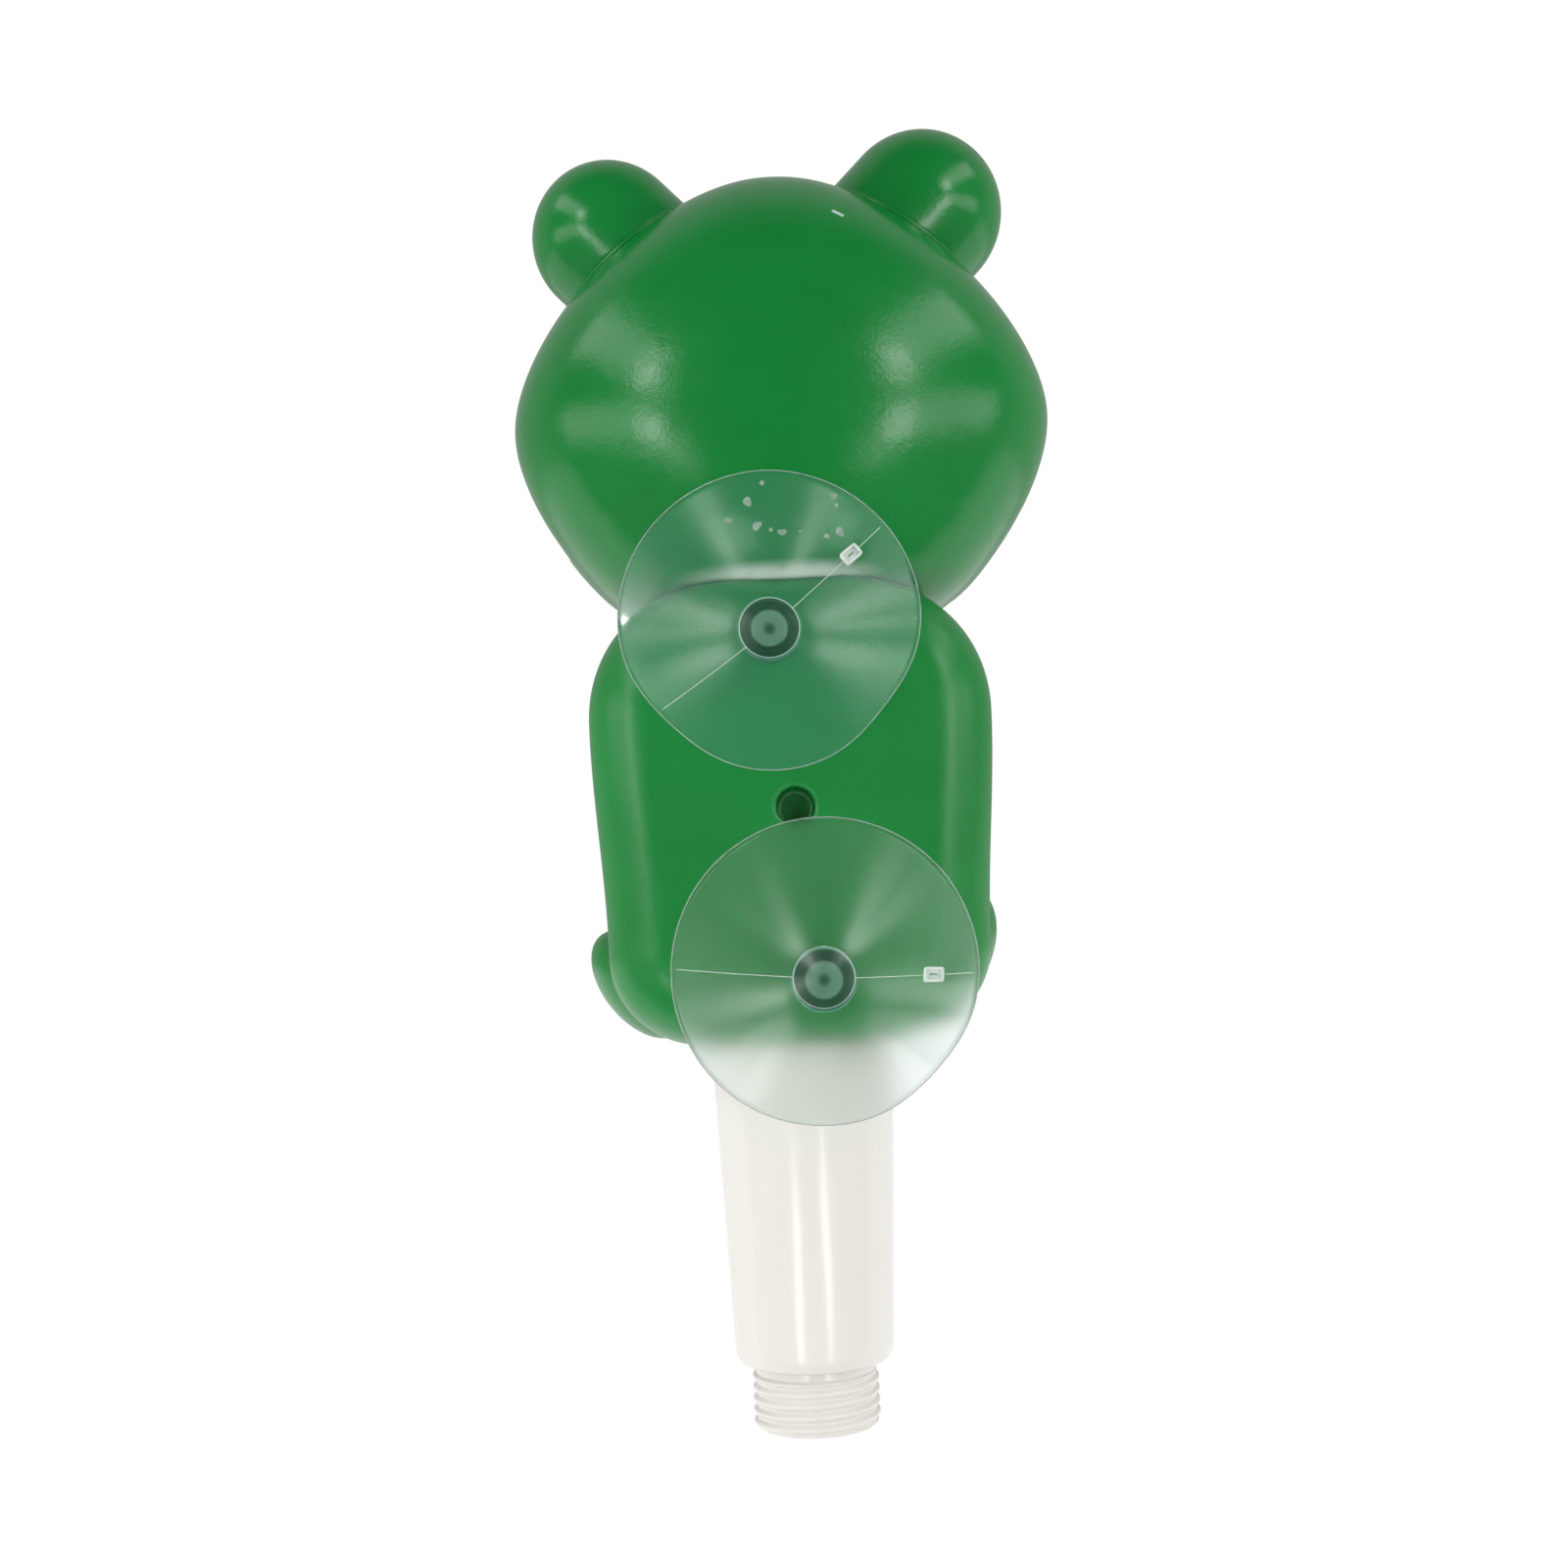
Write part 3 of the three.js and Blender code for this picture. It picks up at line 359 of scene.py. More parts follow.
def eggField(x, y, z, halves):
    first = np.sqrt((x / halves[0]) ** 2 + (y / halves[1]) ** 2 + (z / halves[2]) ** 2) + 1e-9
    second = np.sqrt((x / halves[0] ** 2) ** 2 + (y / halves[1] ** 2) ** 2 + (z / halves[2] ** 2) ** 2) + 1e-9
    return first * (first - 1) / second


# corner of two fields, rounded outside
def cornered(first, second, rounding):
    first, second = first + rounding, second + rounding
    out = np.hypot(np.maximum(first, 0), np.maximum(second, 0))
    return out + np.minimum(np.maximum(first, second), 0) - rounding


# zero surface of a field as quads: one point per crossed cell, then settled on the surface
def skinOf(field, low, high, step):
    axes = [np.arange(a - 2 * step, b + 2.5 * step, step) for a, b in zip(low, high)]
    value = field(*np.meshgrid(*axes, indexing="ij"))
    inside = value < 0
    shape = np.array(value.shape) - 1
    corners = [np.array((i, j, k)) for i in (0, 1) for j in (0, 1) for k in (0, 1)]
    count = np.zeros(shape, np.int8)
    for i, j, k in corners:
        count += inside[i:shape[0] + i, j:shape[1] + j, k:shape[2] + k]
    cells = np.argwhere((count > 0) & (count < 8))
    ids = np.full(shape, -1)
    ids[tuple(cells.T)] = np.arange(len(cells))
    total, hits = np.zeros((len(cells), 3)), np.zeros(len(cells))
    for first in corners:
        for axis in range(3):
            if first[axis]:
                continue
            second = first + np.eye(3, dtype=int)[axis]
            a, b = value[tuple((cells + first).T)], value[tuple((cells + second).T)]
            crossed = (a < 0) != (b < 0)
            share = np.where(crossed, a / np.where(crossed, a - b, 1), 0)
            total += crossed[:, None] * (first + share[:, None] * (second - first))
            hits += crossed
    points = np.array([axis[0] for axis in axes]) + step * (cells + total / hits[:, None])
    faces = []
    for axis in range(3):
        u, v = np.eye(3, dtype=int)[(axis + 1) % 3], np.eye(3, dtype=int)[(axis + 2) % 3]
        a, b = inside.take(range(shape[axis]), axis), inside.take(range(1, shape[axis] + 1), axis)
        edges = np.argwhere(a != b)
        outward = a[tuple(edges.T)]
        quads = np.stack([ids[tuple((edges - shift).T)] for shift in (u + v, v, 0 * u, u)], 1)
        quads[~outward] = quads[~outward][:, ::-1]
        faces.append(quads)
    reach = 0.2 * step
    for _ in range(3):
        here = field(*points.T)
        rise = [field(*(points + shift).T) - field(*(points - shift).T) for shift in reach * np.eye(3)]
        slope = np.stack(rise, 1) / (2 * reach)
        move = here / np.maximum((slope ** 2).sum(1), 0.1)
        points = points - np.clip(move, -0.5 * step, 0.5 * step)[:, None] * slope
    return points, np.concatenate(faces)


# rows of points round an axis, joined into a skin
def wrapped(rows):
    rows = np.asarray(rows)
    n, m = rows.shape[:2]
    i, j = np.arange(n - 1)[:, None] * m, np.arange(m)[None, :]
    k = (j + 1) % m
    faces = np.stack([i + j, i + k, i + m + k, i + m + j], -1).reshape(-1, 4)
    points = rows.reshape(-1, 3)
    a, b, c, d = (points[faces[:, corner]] for corner in range(4))
    volume = (np.cross(b, c) * a).sum() + (np.cross(c, d) * a).sum()
    return points, faces if volume > 0 else faces[:, ::-1]


# (radius, height, rounding) corners as a path, with a point close to each end of a long stretch
def outline(corners, steps=6):
    path = []
    for i, (radius, height, rounding) in enumerate(corners):
        here = np.array([radius, height], float)
        if not rounding or i in (0, len(corners) - 1):
            path.append(here)
            continue
        before, after = (np.array(corners[k][:2], float) - here for k in (i - 1, i + 1))
        first, last = (here + side / np.linalg.norm(side) * rounding for side in (before, after))
        for t in np.linspace(0, 1, steps):
            path.append((1 - t) ** 2 * first + 2 * t * (1 - t) * here + t * t * last)
    full = [path[0]]
    for p, q in zip(path, path[1:]):
        length = np.linalg.norm(q - p)
        if length > 0.8:
            full += [p + (q - p) * 0.1 / length, q - (q - p) * 0.1 / length]
        full.append(q)
    return np.array(full)


def turns(count):
    return np.linspace(0, fullTurn, count, endpoint=False)


# a ring of points, laid out by the given placing
def ring(radius, height, turn, place):
    return place(radius * np.cos(turn), radius * np.sin(turn), np.full(len(turn), height))


def spun(path, count, place):
    return wrapped([ring(radius, height, turns(count), place) for radius, height in path])


def upright(a, b, h):
    return np.stack([a, b, h], -1)


def onSpray(a, b, h):
    return np.stack([a, -h, b + spray["level"]], -1)


def welded(mesh, distance, outward=False):
    form = bmesh.new()
    form.from_mesh(mesh)
    bmesh.ops.remove_doubles(form, verts=form.verts, dist=distance)
    if outward:
        bmesh.ops.recalc_face_normals(form, faces=form.faces)
    form.to_mesh(mesh)
    form.free()
    mesh.shade_smooth()


def addPiece(name, mesh, finish, body, nodes):
    mesh.materials.append(finish)
    piece = bpy.data.objects.new(name, mesh)
    scene.collection.objects.link(piece)
    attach(piece, body)
    if nodes:
        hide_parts(*nodes)


def makePiece(name, shells, finish, body, nodes=()):
    points, faces, start = [], [], 0
    for shellPoints, shellFaces in shells:
        points.append(toRow(shellPoints))
        faces += (np.asarray(shellFaces) + start).tolist()
        start += len(shellPoints)
    mesh = bpy.data.meshes.new(name)
    mesh.from_pydata(np.concatenate(points).tolist(), [], faces)
    welded(mesh, 1e-6)
    addPiece(name, mesh, finish, body, nodes)


# torso: flat back, straight flanks, full belly, knees, feet and the collar round the spray face
torso = {"bottom": 63.0, "neck": 138.2, "back": 26.0, "front": 26.0, "corner": 10.0, "hip": 30.6, "shoulder": 32.6,
         "hipLevel": 78.0, "shoulderLevel": 115.8, "belly": 2.8, "lowIn": (15.0, 11.0, 11.0),
         "highIn": (20.5, 9.0, 10.0), "highHeight": 22.6, "handleHole": 15.75, "holeTop": 66.0, "holeEdge": 0.8,
         "boxLow": (-38.0, -41.0, 60.0), "boxHigh": (38.0, 26.0, 138.2), "step": 0.55}
knee = {"at": {-1: (26.0, -11.0, 76.6), 1: (27.6, -11.0, 73.0)},
        "halves": {-1: (8.0, 13.0, 12.5), 1: (6.4, 13.0, 11.0)}, "lean": {-1: 28.0, 1: 37.0}, "blend": 2.2}
foot = {"at": (18.0, -29.0, 67.2), "halves": (9.0, 11.0, 4.8), "blend": 2.0}
spray = {"level": 99.0, "collar": 28.5, "front": 29.0, "edge": 1.6, "mouth": 22.6, "mouthBack": 12.0,
         "mouthEdge": 0.5, "blend": 3.0}
socket = {"radius": 3.05, "floor": 21.2, "lip": 0.25, "places": ((3.03, 127.4), (0.0, 100.4), (-3.03, 73.4))}


def torsoField(x, y, z):
    low = drawnIn((torso["hipLevel"] - z) / (torso["hipLevel"] - torso["bottom"]))
    high = drawnIn((z - torso["shoulderLevel"]) / torso["highHeight"])
    swell = eased(z, torso["hipLevel"], torso["shoulderLevel"])
    half = torso["hip"] + (torso["shoulder"] - torso["hip"]) * swell
    half, back, front = (full - a * low - b * high for full, a, b in
                         zip((half, torso["back"], torso["front"]), torso["lowIn"], torso["highIn"]))
    rear = cornered(np.abs(x) - half, y - back, torso["corner"])
    power = torso["belly"]
    ratio = ((np.abs(x) / half) ** power + (np.abs(y) / front) ** power) ** (1 / power) + 1e-6
    fore = np.hypot(x, y) * (1 - 1 / ratio)
    return np.maximum(np.where(y > 0, rear, fore), np.maximum(torso["bottom"] - z, z - torso["neck"]))


def bodyField(x, y, z):
    form = torsoField(x, y, z)
    for side in (-1, 1):
        turn = math.radians(knee["lean"][side])
        out, ahead, up = knee["at"][side]
        dx, dy, dz = side * x - out, y - ahead, z - up
        leg = eggField(dx * math.cos(turn) - dz * math.sin(turn), dy, dx * math.sin(turn) + dz * math.cos(turn),
                       knee["halves"][side])
        form = merged(form, leg, knee["blend"])
        out, ahead, up = foot["at"]
        toes = eggField(side * x - out, y - ahead, z - up, foot["halves"])
        form = merged(form, toes, foot["blend"])
    around = np.hypot(x, z - spray["level"])
    collar = cornered(around - spray["collar"], -y - spray["front"], spray["edge"])
    form = merged(form, np.maximum(collar, y), spray["blend"])
    form = carved(form, np.maximum(around - spray["mouth"], y + spray["mouthBack"]), spray["mouthEdge"])
    form = carved(form, np.maximum(np.hypot(x, y) - torso["handleHole"], z - torso["holeTop"]), torso["holeEdge"])
    for across, level in socket["places"]:
        hole = np.maximum(np.hypot(x - across, z - level) - socket["radius"], socket["floor"] - y)
        form = carved(form, hole, socket["lip"])
    return form


makePiece("torso", [skinOf(bodyField, torso["boxLow"], torso["boxHigh"], torso["step"])], bodyVinyl, "frog",
          ["torso_skin"])
print("torso made")


# head: wide rounded diamond with a closed smile, a slight jaw step and nostrils
head = {"level": 168.5, "half": 46.4, "aside": -1.0, "crown": 43.7, "chin": 45.5, "back": 32.0, "front": 42.0,
        "forward": 3.0, "crownPower": 1.6, "chinPower": 1.6, "depthPower": 2.1, "square": 2.15, "soft": 0.1,
        "chinRound": 9.0, "top": 212.1, "topEdge": 2.5, "roll": (2.2, 3.6), "rollHigh": 6.5, "rollFoot": 135.0,
        "low": 133.0, "gap": 0.3, "gapEdge": 0.4, "boxLow": (-48.5, -46.5, 133.0), "boxHigh": (48.5, 30.0, 215.0),
        "step": 0.55}
# the jaw's step and the line of the smile run out towards the cheeks
jaw = {"proud": 1.1, "half": 36.0, "up": 6.5, "lift": 5.0, "stepFrom": (5.0, 18.0), "stepEdge": 0.3,
       "cheek": (-16.0, -2.0), "cheekEdge": 6.0, "groove": 0.7, "grooveEdge": 0.7, "depth": 1.3,
       "depthFrom": (9.0, 20.0), "raised": 0.4, "raisedFrom": (-16.0, -9.0)}
nostril = {"out": 6.5, "up": 35.0, "radius": 1.7, "edge": 0.8}


def bent(share, power):
    return (share * share + head["soft"] ** 2) ** (power / 2) - head["soft"] ** power


# a power curve's half width at a share of its height
def bulge(drop, power):
    return np.clip(1 - drop, 1e-4, None) ** (1 / power)


def headForm(x, y, z):
    x = x - head["aside"]
    rise = z - head["level"]
    share = np.where(rise > 0, rise / head["crown"], -rise / head["chin"])
    across = np.where(rise > 0, bulge(bent(share, head["crownPower"]), head["crownPower"]),
                      bulge(bent(share, head["chinPower"]), head["chinPower"]))
    along = bulge(np.abs(share) ** head["depthPower"], head["depthPower"])
    chin = head["chinRound"] * rolledIn((torso["neck"] + head["chinRound"] - z) / head["chinRound"])
    under = rolledIn((head["rollFoot"] + head["rollHigh"] - z) / head["rollHigh"])
    rollSide, rollBack = head["roll"]
    shifted = y + head["forward"]
    width = np.maximum(head["half"] * across - rollSide * under, 0.5)
    depth = np.where(y > -head["forward"], head["back"] * along - rollBack * under, head["front"] * along - chin)
    power = head["square"]
    ratio = (np.abs(x) / width) ** power + (np.abs(shifted) / np.maximum(depth, 0.5)) ** power
    ratio = ratio ** (1 / power) + 1e-6
    side = np.hypot(x, shifted) * (1 - 1 / ratio)
    return carved(side, head["top"] - z, head["topEdge"])


def smileLevel(x):
    return torso["neck"] + jaw["up"] + jaw["lift"] * (x / jaw["half"]) ** 2


# where the head's front lies at the nostrils
nostrilLevel = torso["neck"] + nostril["up"]
inward = np.linspace(-60, -20, 4001)
reached = headForm(0 * inward + nostril["out"] + head["aside"], inward, 0 * inward + nostrilLevel) < 0
nostrilFront = inward[np.argmax(reached)]


def headField(x, y, z):
    plain = headForm(x, y, z)
    smile = smileLevel(x)
    stepHigh = jaw["stepEdge"] + jaw["cheekEdge"] * eased(y, *jaw["cheek"])
    form = plain - jaw["proud"] * eased(-y, *jaw["stepFrom"]) * eased(smile - z, -jaw["stepEdge"], stepHigh)
    deep = jaw["depth"] * eased(-y, *jaw["depthFrom"]) - jaw["raised"] * eased(y, *jaw["raisedFrom"])
    form = carved(form, np.maximum(np.abs(z - smile) - jaw["groove"], -plain - deep), jaw["grooveEdge"])
    for side in (-1, 1):
        aside = x - head["aside"] - side * nostril["out"]
        spot = np.sqrt(aside ** 2 + (y - nostrilFront) ** 2 + (z - nostrilLevel) ** 2)
        form = carved(form, spot - nostril["radius"], nostril["edge"])
    form = np.maximum(form, head["low"] - z)
    return carved(form, torsoField(x, y, z) - head["gap"], head["gapEdge"])


makePiece("head", [skinOf(headField, head["boxLow"], head["boxHigh"], head["step"])], headVinyl, "frog",
          ["head_skin"])
print("head made")


# eyes: balls on short barrels, each with a lip where it meets the head
eye = {"lean": 44.0, "barrel": 17.0, "gap": 0.15, "gapEdge": 0.5, "margin": 5.0, "step": 0.45,
       "lipOut": 0.55, "lipWide": 0.75, "lipHigh": 0.55, "lipFacets": 180, "lipSearch": (-30.0, 8.0)}


def makeEye(name, side, node, centre, radius):
    centre = np.array(centre)
    lean = math.radians(eye["lean"])
    axis = np.array([side * math.sin(lean), 0, math.cos(lean)])

    def field(x, y, z):
        dx, dy, dz = x - centre[0], y - centre[1], z - centre[2]
        up = dx * axis[0] + dz * axis[2]
        far = dx * dx + dy * dy + dz * dz
        ball = np.where(up > 0, np.sqrt(far), np.sqrt(np.maximum(far - up * up, 0))) - radius
        return carved(np.maximum(ball, -up - eye["barrel"]), headForm(x, y, z) - eye["gap"], eye["gapEdge"])

    reach = radius + eye["margin"]
    shells = [skinOf(field, centre - reach, centre + reach, eye["step"])]
    # the lip runs where a slightly wider barrel meets the head, found by halving
    turn = turns(eye["lipFacets"])
    radial = np.cos(turn)[:, None] * np.cross(axis, (0, 1, 0)) + np.sin(turn)[:, None] * np.array([0, 1, 0])
    start = centre + (radius + eye["lipOut"]) * radial
    low, high = (np.full(len(turn), end) for end in eye["lipSearch"])
    for _ in range(40):
        middle = (low + high) / 2
        out = headForm(*(start + middle[:, None] * axis).T) > 0
        high, low = np.where(out, middle, high), np.where(out, low, middle)
    line = start + high[:, None] * axis
    rows = [line + math.cos(t) * eye["lipWide"] * radial + math.sin(t) * eye["lipHigh"] * axis
            for t in np.linspace(0, fullTurn, 13)]
    shells.append(wrapped(rows))
    makePiece(name, shells, eyeFinish(name + "Finish", centre, side), "frog", [node])


makeEye("eyeRight", -1, "eye_right", (-27.5, -6.0, 208.1), 14.5)
makeEye("eyeLeft", 1, "eye_left", (28.2, -6.0, 205.3), 13.7)
print("eyes made")


# handle: tapered grip with a rounded lower edge, a short neck and a half inch hose thread
grip = {"low": 13.0, "top": 15.3, "edge": 2.5, "bottom": 10.2, "up": 62.0, "end": 65.5, "facets": 192}
thread = {"crest": 10.4775, "root": 9.9, "pitch": 1.814, "stop": 8.9, "fade": 0.6, "neck": 9.75, "chamfer": 1.0,
          "chamferIn": 0.2, "flank": 1.25, "flat": 0.12, "slice": 0.07, "bore": 6.8, "boreDepth": 7.0,
          "endIn": 0.25, "under": 0.05}


def threadRows(turn):
    rows = []
    for level in np.arange(0.0, grip["bottom"] - thread["under"], thread["slice"]):
        phase = (level / thread["pitch"] - turn / fullTurn) % 1.0
        ridge = eased((1 - np.abs(phase - 0.5) * 2) * thread["flank"] - thread["flat"], 0, 1)
        fade = 1 - eased(level, thread["stop"] - thread["fade"], thread["stop"])
        radius = thread["root"] + (thread["crest"] - thread["root"]) * ridge * fade
        radius = np.minimum(radius, thread["root"] - thread["chamferIn"] + level / thread["chamfer"])
        rows.append(ring(radius, level, turn, upright))
    return rows


def makeHandle():
    turn = turns(grip["facets"])
    bore = outline([(0, thread["boreDepth"], 0), (thread["bore"], thread["boreDepth"], 0.3),
                    (thread["bore"], 0, 0.35), (thread["root"] - thread["endIn"], 0, 0)])
    shaft = outline([(thread["neck"], grip["bottom"] - 0.04, 0), (thread["neck"], grip["bottom"], 0.03),
                     (grip["low"], grip["bottom"], grip["edge"]), (grip["top"], grip["up"], 0),
                     (grip["top"], grip["end"], 0.3), (0, grip["end"], 0)], steps=12)
    rows = [ring(radius, height, turn, upright) for radius, height in bore]
    rows += threadRows(turn)
    rows += [ring(radius, height, turn, upright) for radius, height in shaft]
    makePiece("grip", [wrapped(rows)], white, "frog", ["handle"])


makeHandle()
print("handle made")


# spray face: bezel, drilled front plate, soft nozzles and the cap over the screw
face = {"bezelIn": 20.8, "bezelSeat": 22.2, "bezelOut": 26.0, "bezelBack": 26.7, "back": 29.3, "front": 31.5,
        "edge": 0.9, "plateFront": 31.0, "plateBack": 28.8, "plateOut": 20.5, "plateEdge": 0.25, "hole": 1.8,
        "capHole": 4.3, "cap": 4.0, "capBack": 29.9, "capFlat": 2.6, "capHigh": 31.25, "capTop": 31.3,
        "matIn": 5.9, "matOut": 14.8, "matBack": 27.1, "matFront": 28.5,
        "tip": 32.2, "tipRadius": 1.1, "rootRadius": 1.5, "root": 28.2, "bore": 0.5, "boreStart": 28.6,
        "rings": ((8.2, 6), (12.4, 12))}
# the inlet's strainer: one hole in the middle, then rings of (radius, count)
strainer = {"radius": 6.5, "thickness": 0.8, "edge": 0.08, "level": 2.0, "hole": 0.62,
            "rings": ((2.0, 6), (3.8, 12), (5.5, 18))}


def ringPlaces(rings, shift):
    for radius, count in rings:
        for i in range(count):
            angle = fullTurn * (i + shift) / count
            yield radius * math.cos(angle), radius * math.sin(angle)


# flat plate with round holes and softened edges, from a filled curve
def drilledPlate(rim, holes, thickness, soften):
    curve = bpy.data.curves.new("plateOutline", "CURVE")
    curve.dimensions = "2D"
    curve.fill_mode = "BOTH"
    curve.extrude = thickness / 2 - soften
    curve.bevel_depth = soften
    curve.bevel_resolution = 2
    for x, y, radius, count in [(0, 0, rim - soften, 128)] + [(x, y, r + soften, 28) for x, y, r in holes]:
        spline = curve.splines.new("POLY")
        spline.points.add(count - 1)
        for i, point in enumerate(spline.points):
            angle = fullTurn * i / count
            point.co = (x + radius * math.cos(angle), y + radius * math.sin(angle), 0, 1)
        spline.use_cyclic_u = True
    carrier = bpy.data.objects.new("plateOutline", curve)
    scene.collection.objects.link(carrier)
    mesh = bpy.data.meshes.new_from_object(carrier.evaluated_get(bpy.context.evaluated_depsgraph_get()))
    points = np.array([v.co[:] for v in mesh.vertices])
    faces = [list(f.vertices) for f in mesh.polygons]
    bpy.data.objects.remove(carrier)
    bpy.data.curves.remove(curve)
    bpy.data.meshes.remove(mesh)
    return points, faces


# a plate's faces differ in their number of corners, and its edges stay sharp
def makePlate(name, points, faces, finish, nodes):
    mesh = bpy.data.meshes.new(name)
    mesh.from_pydata(toRow(points).tolist(), [], faces)
    welded(mesh, 2e-6, outward=True)
    mesh.set_sharp_from_angle(angle=math.radians(24))
    addPiece(name, mesh, finish, "frog", nodes)


bezelPath = outline([(face["bezelIn"], face["bezelBack"], 0), (face["bezelSeat"], face["bezelBack"], 0.2),
                     (face["bezelSeat"], face["back"], 0.1), (face["bezelOut"], face["back"], 0.3),
                     (face["bezelOut"], face["front"], face["edge"]), (face["bezelIn"], face["front"], 0.35),
                     (face["bezelIn"], face["bezelBack"], 0)])
makePiece("bezel", [spun(bezelPath, 160, onSpray)], white, "frog", ["bezel_ring"])

nozzlePlaces = list(ringPlaces(face["rings"], 0.5))
holes = [(x, y, face["hole"]) for x, y in nozzlePlaces] + [(0, 0, face["capHole"])]
flat, plateFaces = drilledPlate(face["plateOut"], holes, face["plateFront"] - face["plateBack"], face["plateEdge"])
middle = (face["plateFront"] + face["plateBack"]) / 2
makePlate("sprayFront", onSpray(flat[:, 0], flat[:, 1], middle + flat[:, 2]), plateFaces, white,
          ["spray_face"])

capPath = outline([(0, face["capBack"], 0), (face["cap"], face["capBack"], 0.2),
                   (face["cap"], face["plateFront"], 0.3), (face["capFlat"], face["capHigh"], 0.5),
                   (0, face["capTop"], 0)])
makePiece("screwCover", [spun(capPath, 64, onSpray)], white, "frog", ["screw_cap"])

matPath = outline([(face["matIn"], face["matBack"], 0), (face["matOut"], face["matBack"], 0.2),
                   (face["matOut"], face["matFront"], 0.2), (face["matIn"], face["matFront"], 0.2),
                   (face["matIn"], face["matBack"], 0)])
nozzlePath = outline([(face["bore"], face["boreStart"], 0), (face["bore"], face["tip"], 0.12),
                      (face["tipRadius"], face["tip"], 0.25), (face["rootRadius"], face["root"], 0),
                      (face["bore"], face["root"], 0)], steps=5)
shells = [spun(matPath, 96, onSpray)]
for x, y in nozzlePlaces:
    points, quads = spun(nozzlePath, 24, onSpray)
    shells.append((points + (x, 0, y), quads))
makePiece("nozzles", shells, inner["nozzleRubber"], "frog", ["nozzle_mat"])

holes = [(x, y, strainer["hole"]) for x, y in [(0, 0), *ringPlaces(strainer["rings"], 0)]]
flat, plateFaces = drilledPlate(strainer["radius"], holes, strainer["thickness"], strainer["edge"])
makePlate("strainer", flat + (0, 0, strainer["level"]), plateFaces, inner["innerPlastic"],
          ["inlet_filter"])
print("spray face made")


# suction cups: knob, neck and hub, then a thin bowl with a rim, a mould line and a pull tab
cup = {"knobLow": 20.5, "knobFlat": 1.95, "knob": 3.9, "knobWide": 21.8, "knobHigh": 23.1, "neck": 2.75,
       "hub": 4.65, "hubLow": 26.3, "hubHigh": 30.4, "web": 1.5, "rim": 22.75, "lip": 22.2, "rimHigh": 40.0,
       "rimLow": 39.3, "flare": 1.32, "hollow": 1.38, "pullWidth": 0.42, "facets": 192}
trim = {"line": 0.05, "lineEnd": 0.4, "edge": 0.07, "edgeSunk": 0.05, "ring": 0.045,
        "tabOut": 16.2, "tabLong": 3.0, "tabWide": 2.1, "tabHigh": 0.8, "tabWall": 0.3, "tabFloor": 0.25,
        "tabFloorIn": 0.4, "tabMiddle": 0.9, "tabRoot": -0.5, "tabSquare": 0.2}
# dried drops on the upper cup: place aside and above, size, stretch and lean, then a dome's (share, height)
drop = {"places": ((0.3, 20.9, 0.36, 1.0, 0), (2.6, 18.4, 0.66, 1.2, 60), (5.6, 15.9, 0.45, 1.4, 10),
                   (1.3, 15.0, 0.68, 1.4, -35), (-0.8, 14.4, 0.30, 1.0, 0), (-2.5, 14.0, 0.58, 1.6, 5),
                   (-10.4, 18.5, 0.50, 1.2, 70), (-10.8, 17.2, 0.32, 1.0, 0), (-9.2, 13.0, 0.44, 1.2, 20),
                   (-11.2, 13.4, 0.64, 1.5, 60), (-5.2, 14.0, 0.16, 1.0, 0)),
        "dome": ((1.0, -0.05), (0.97, 0.08), (0.75, 0.2), (0.4, 0.26), (0.0, 0.28)), "wobble": 0.12}


def bowlInside(radius):
    depth = cup["rimHigh"] - cup["hubHigh"] - cup["web"]
    return cup["rimHigh"] - depth * (1 - (radius / cup["lip"]) ** cup["hollow"])


def cupPath():
    share = np.linspace(0, 1, 26)
    outer = np.stack([cup["hub"] + (cup["rim"] - cup["hub"]) * share,
                      cup["hubHigh"] + (cup["rimLow"] - cup["hubHigh"]) * share ** cup["flare"]], -1)
    radii = np.linspace(cup["lip"] - 0.15, 0, 30)
    inside = np.stack([radii, bowlInside(radii)], -1)
    stem = outline([(0, cup["knobLow"], 0), (cup["knobFlat"], cup["knobLow"], 0.4),
                    (cup["knob"], cup["knobWide"], 0.5), (cup["knob"], cup["knobHigh"], 0.4),
                    (cup["neck"], cup["knobHigh"], 0.25), (cup["neck"], cup["hubLow"], 0.2),
                    (cup["hub"], cup["hubLow"], 0.15), (cup["hub"], cup["hubHigh"], 0)])
    rim = outline([(*outer[-2], 0), (cup["rim"], cup["rimLow"], 0.2), (cup["rim"], cup["rimHigh"], 0.25),
                   (cup["lip"], cup["rimHigh"], 0.25), (*inside[1], 0)])
    return np.concatenate([stem[:-1], outer[:-2], rim, inside[2:]])


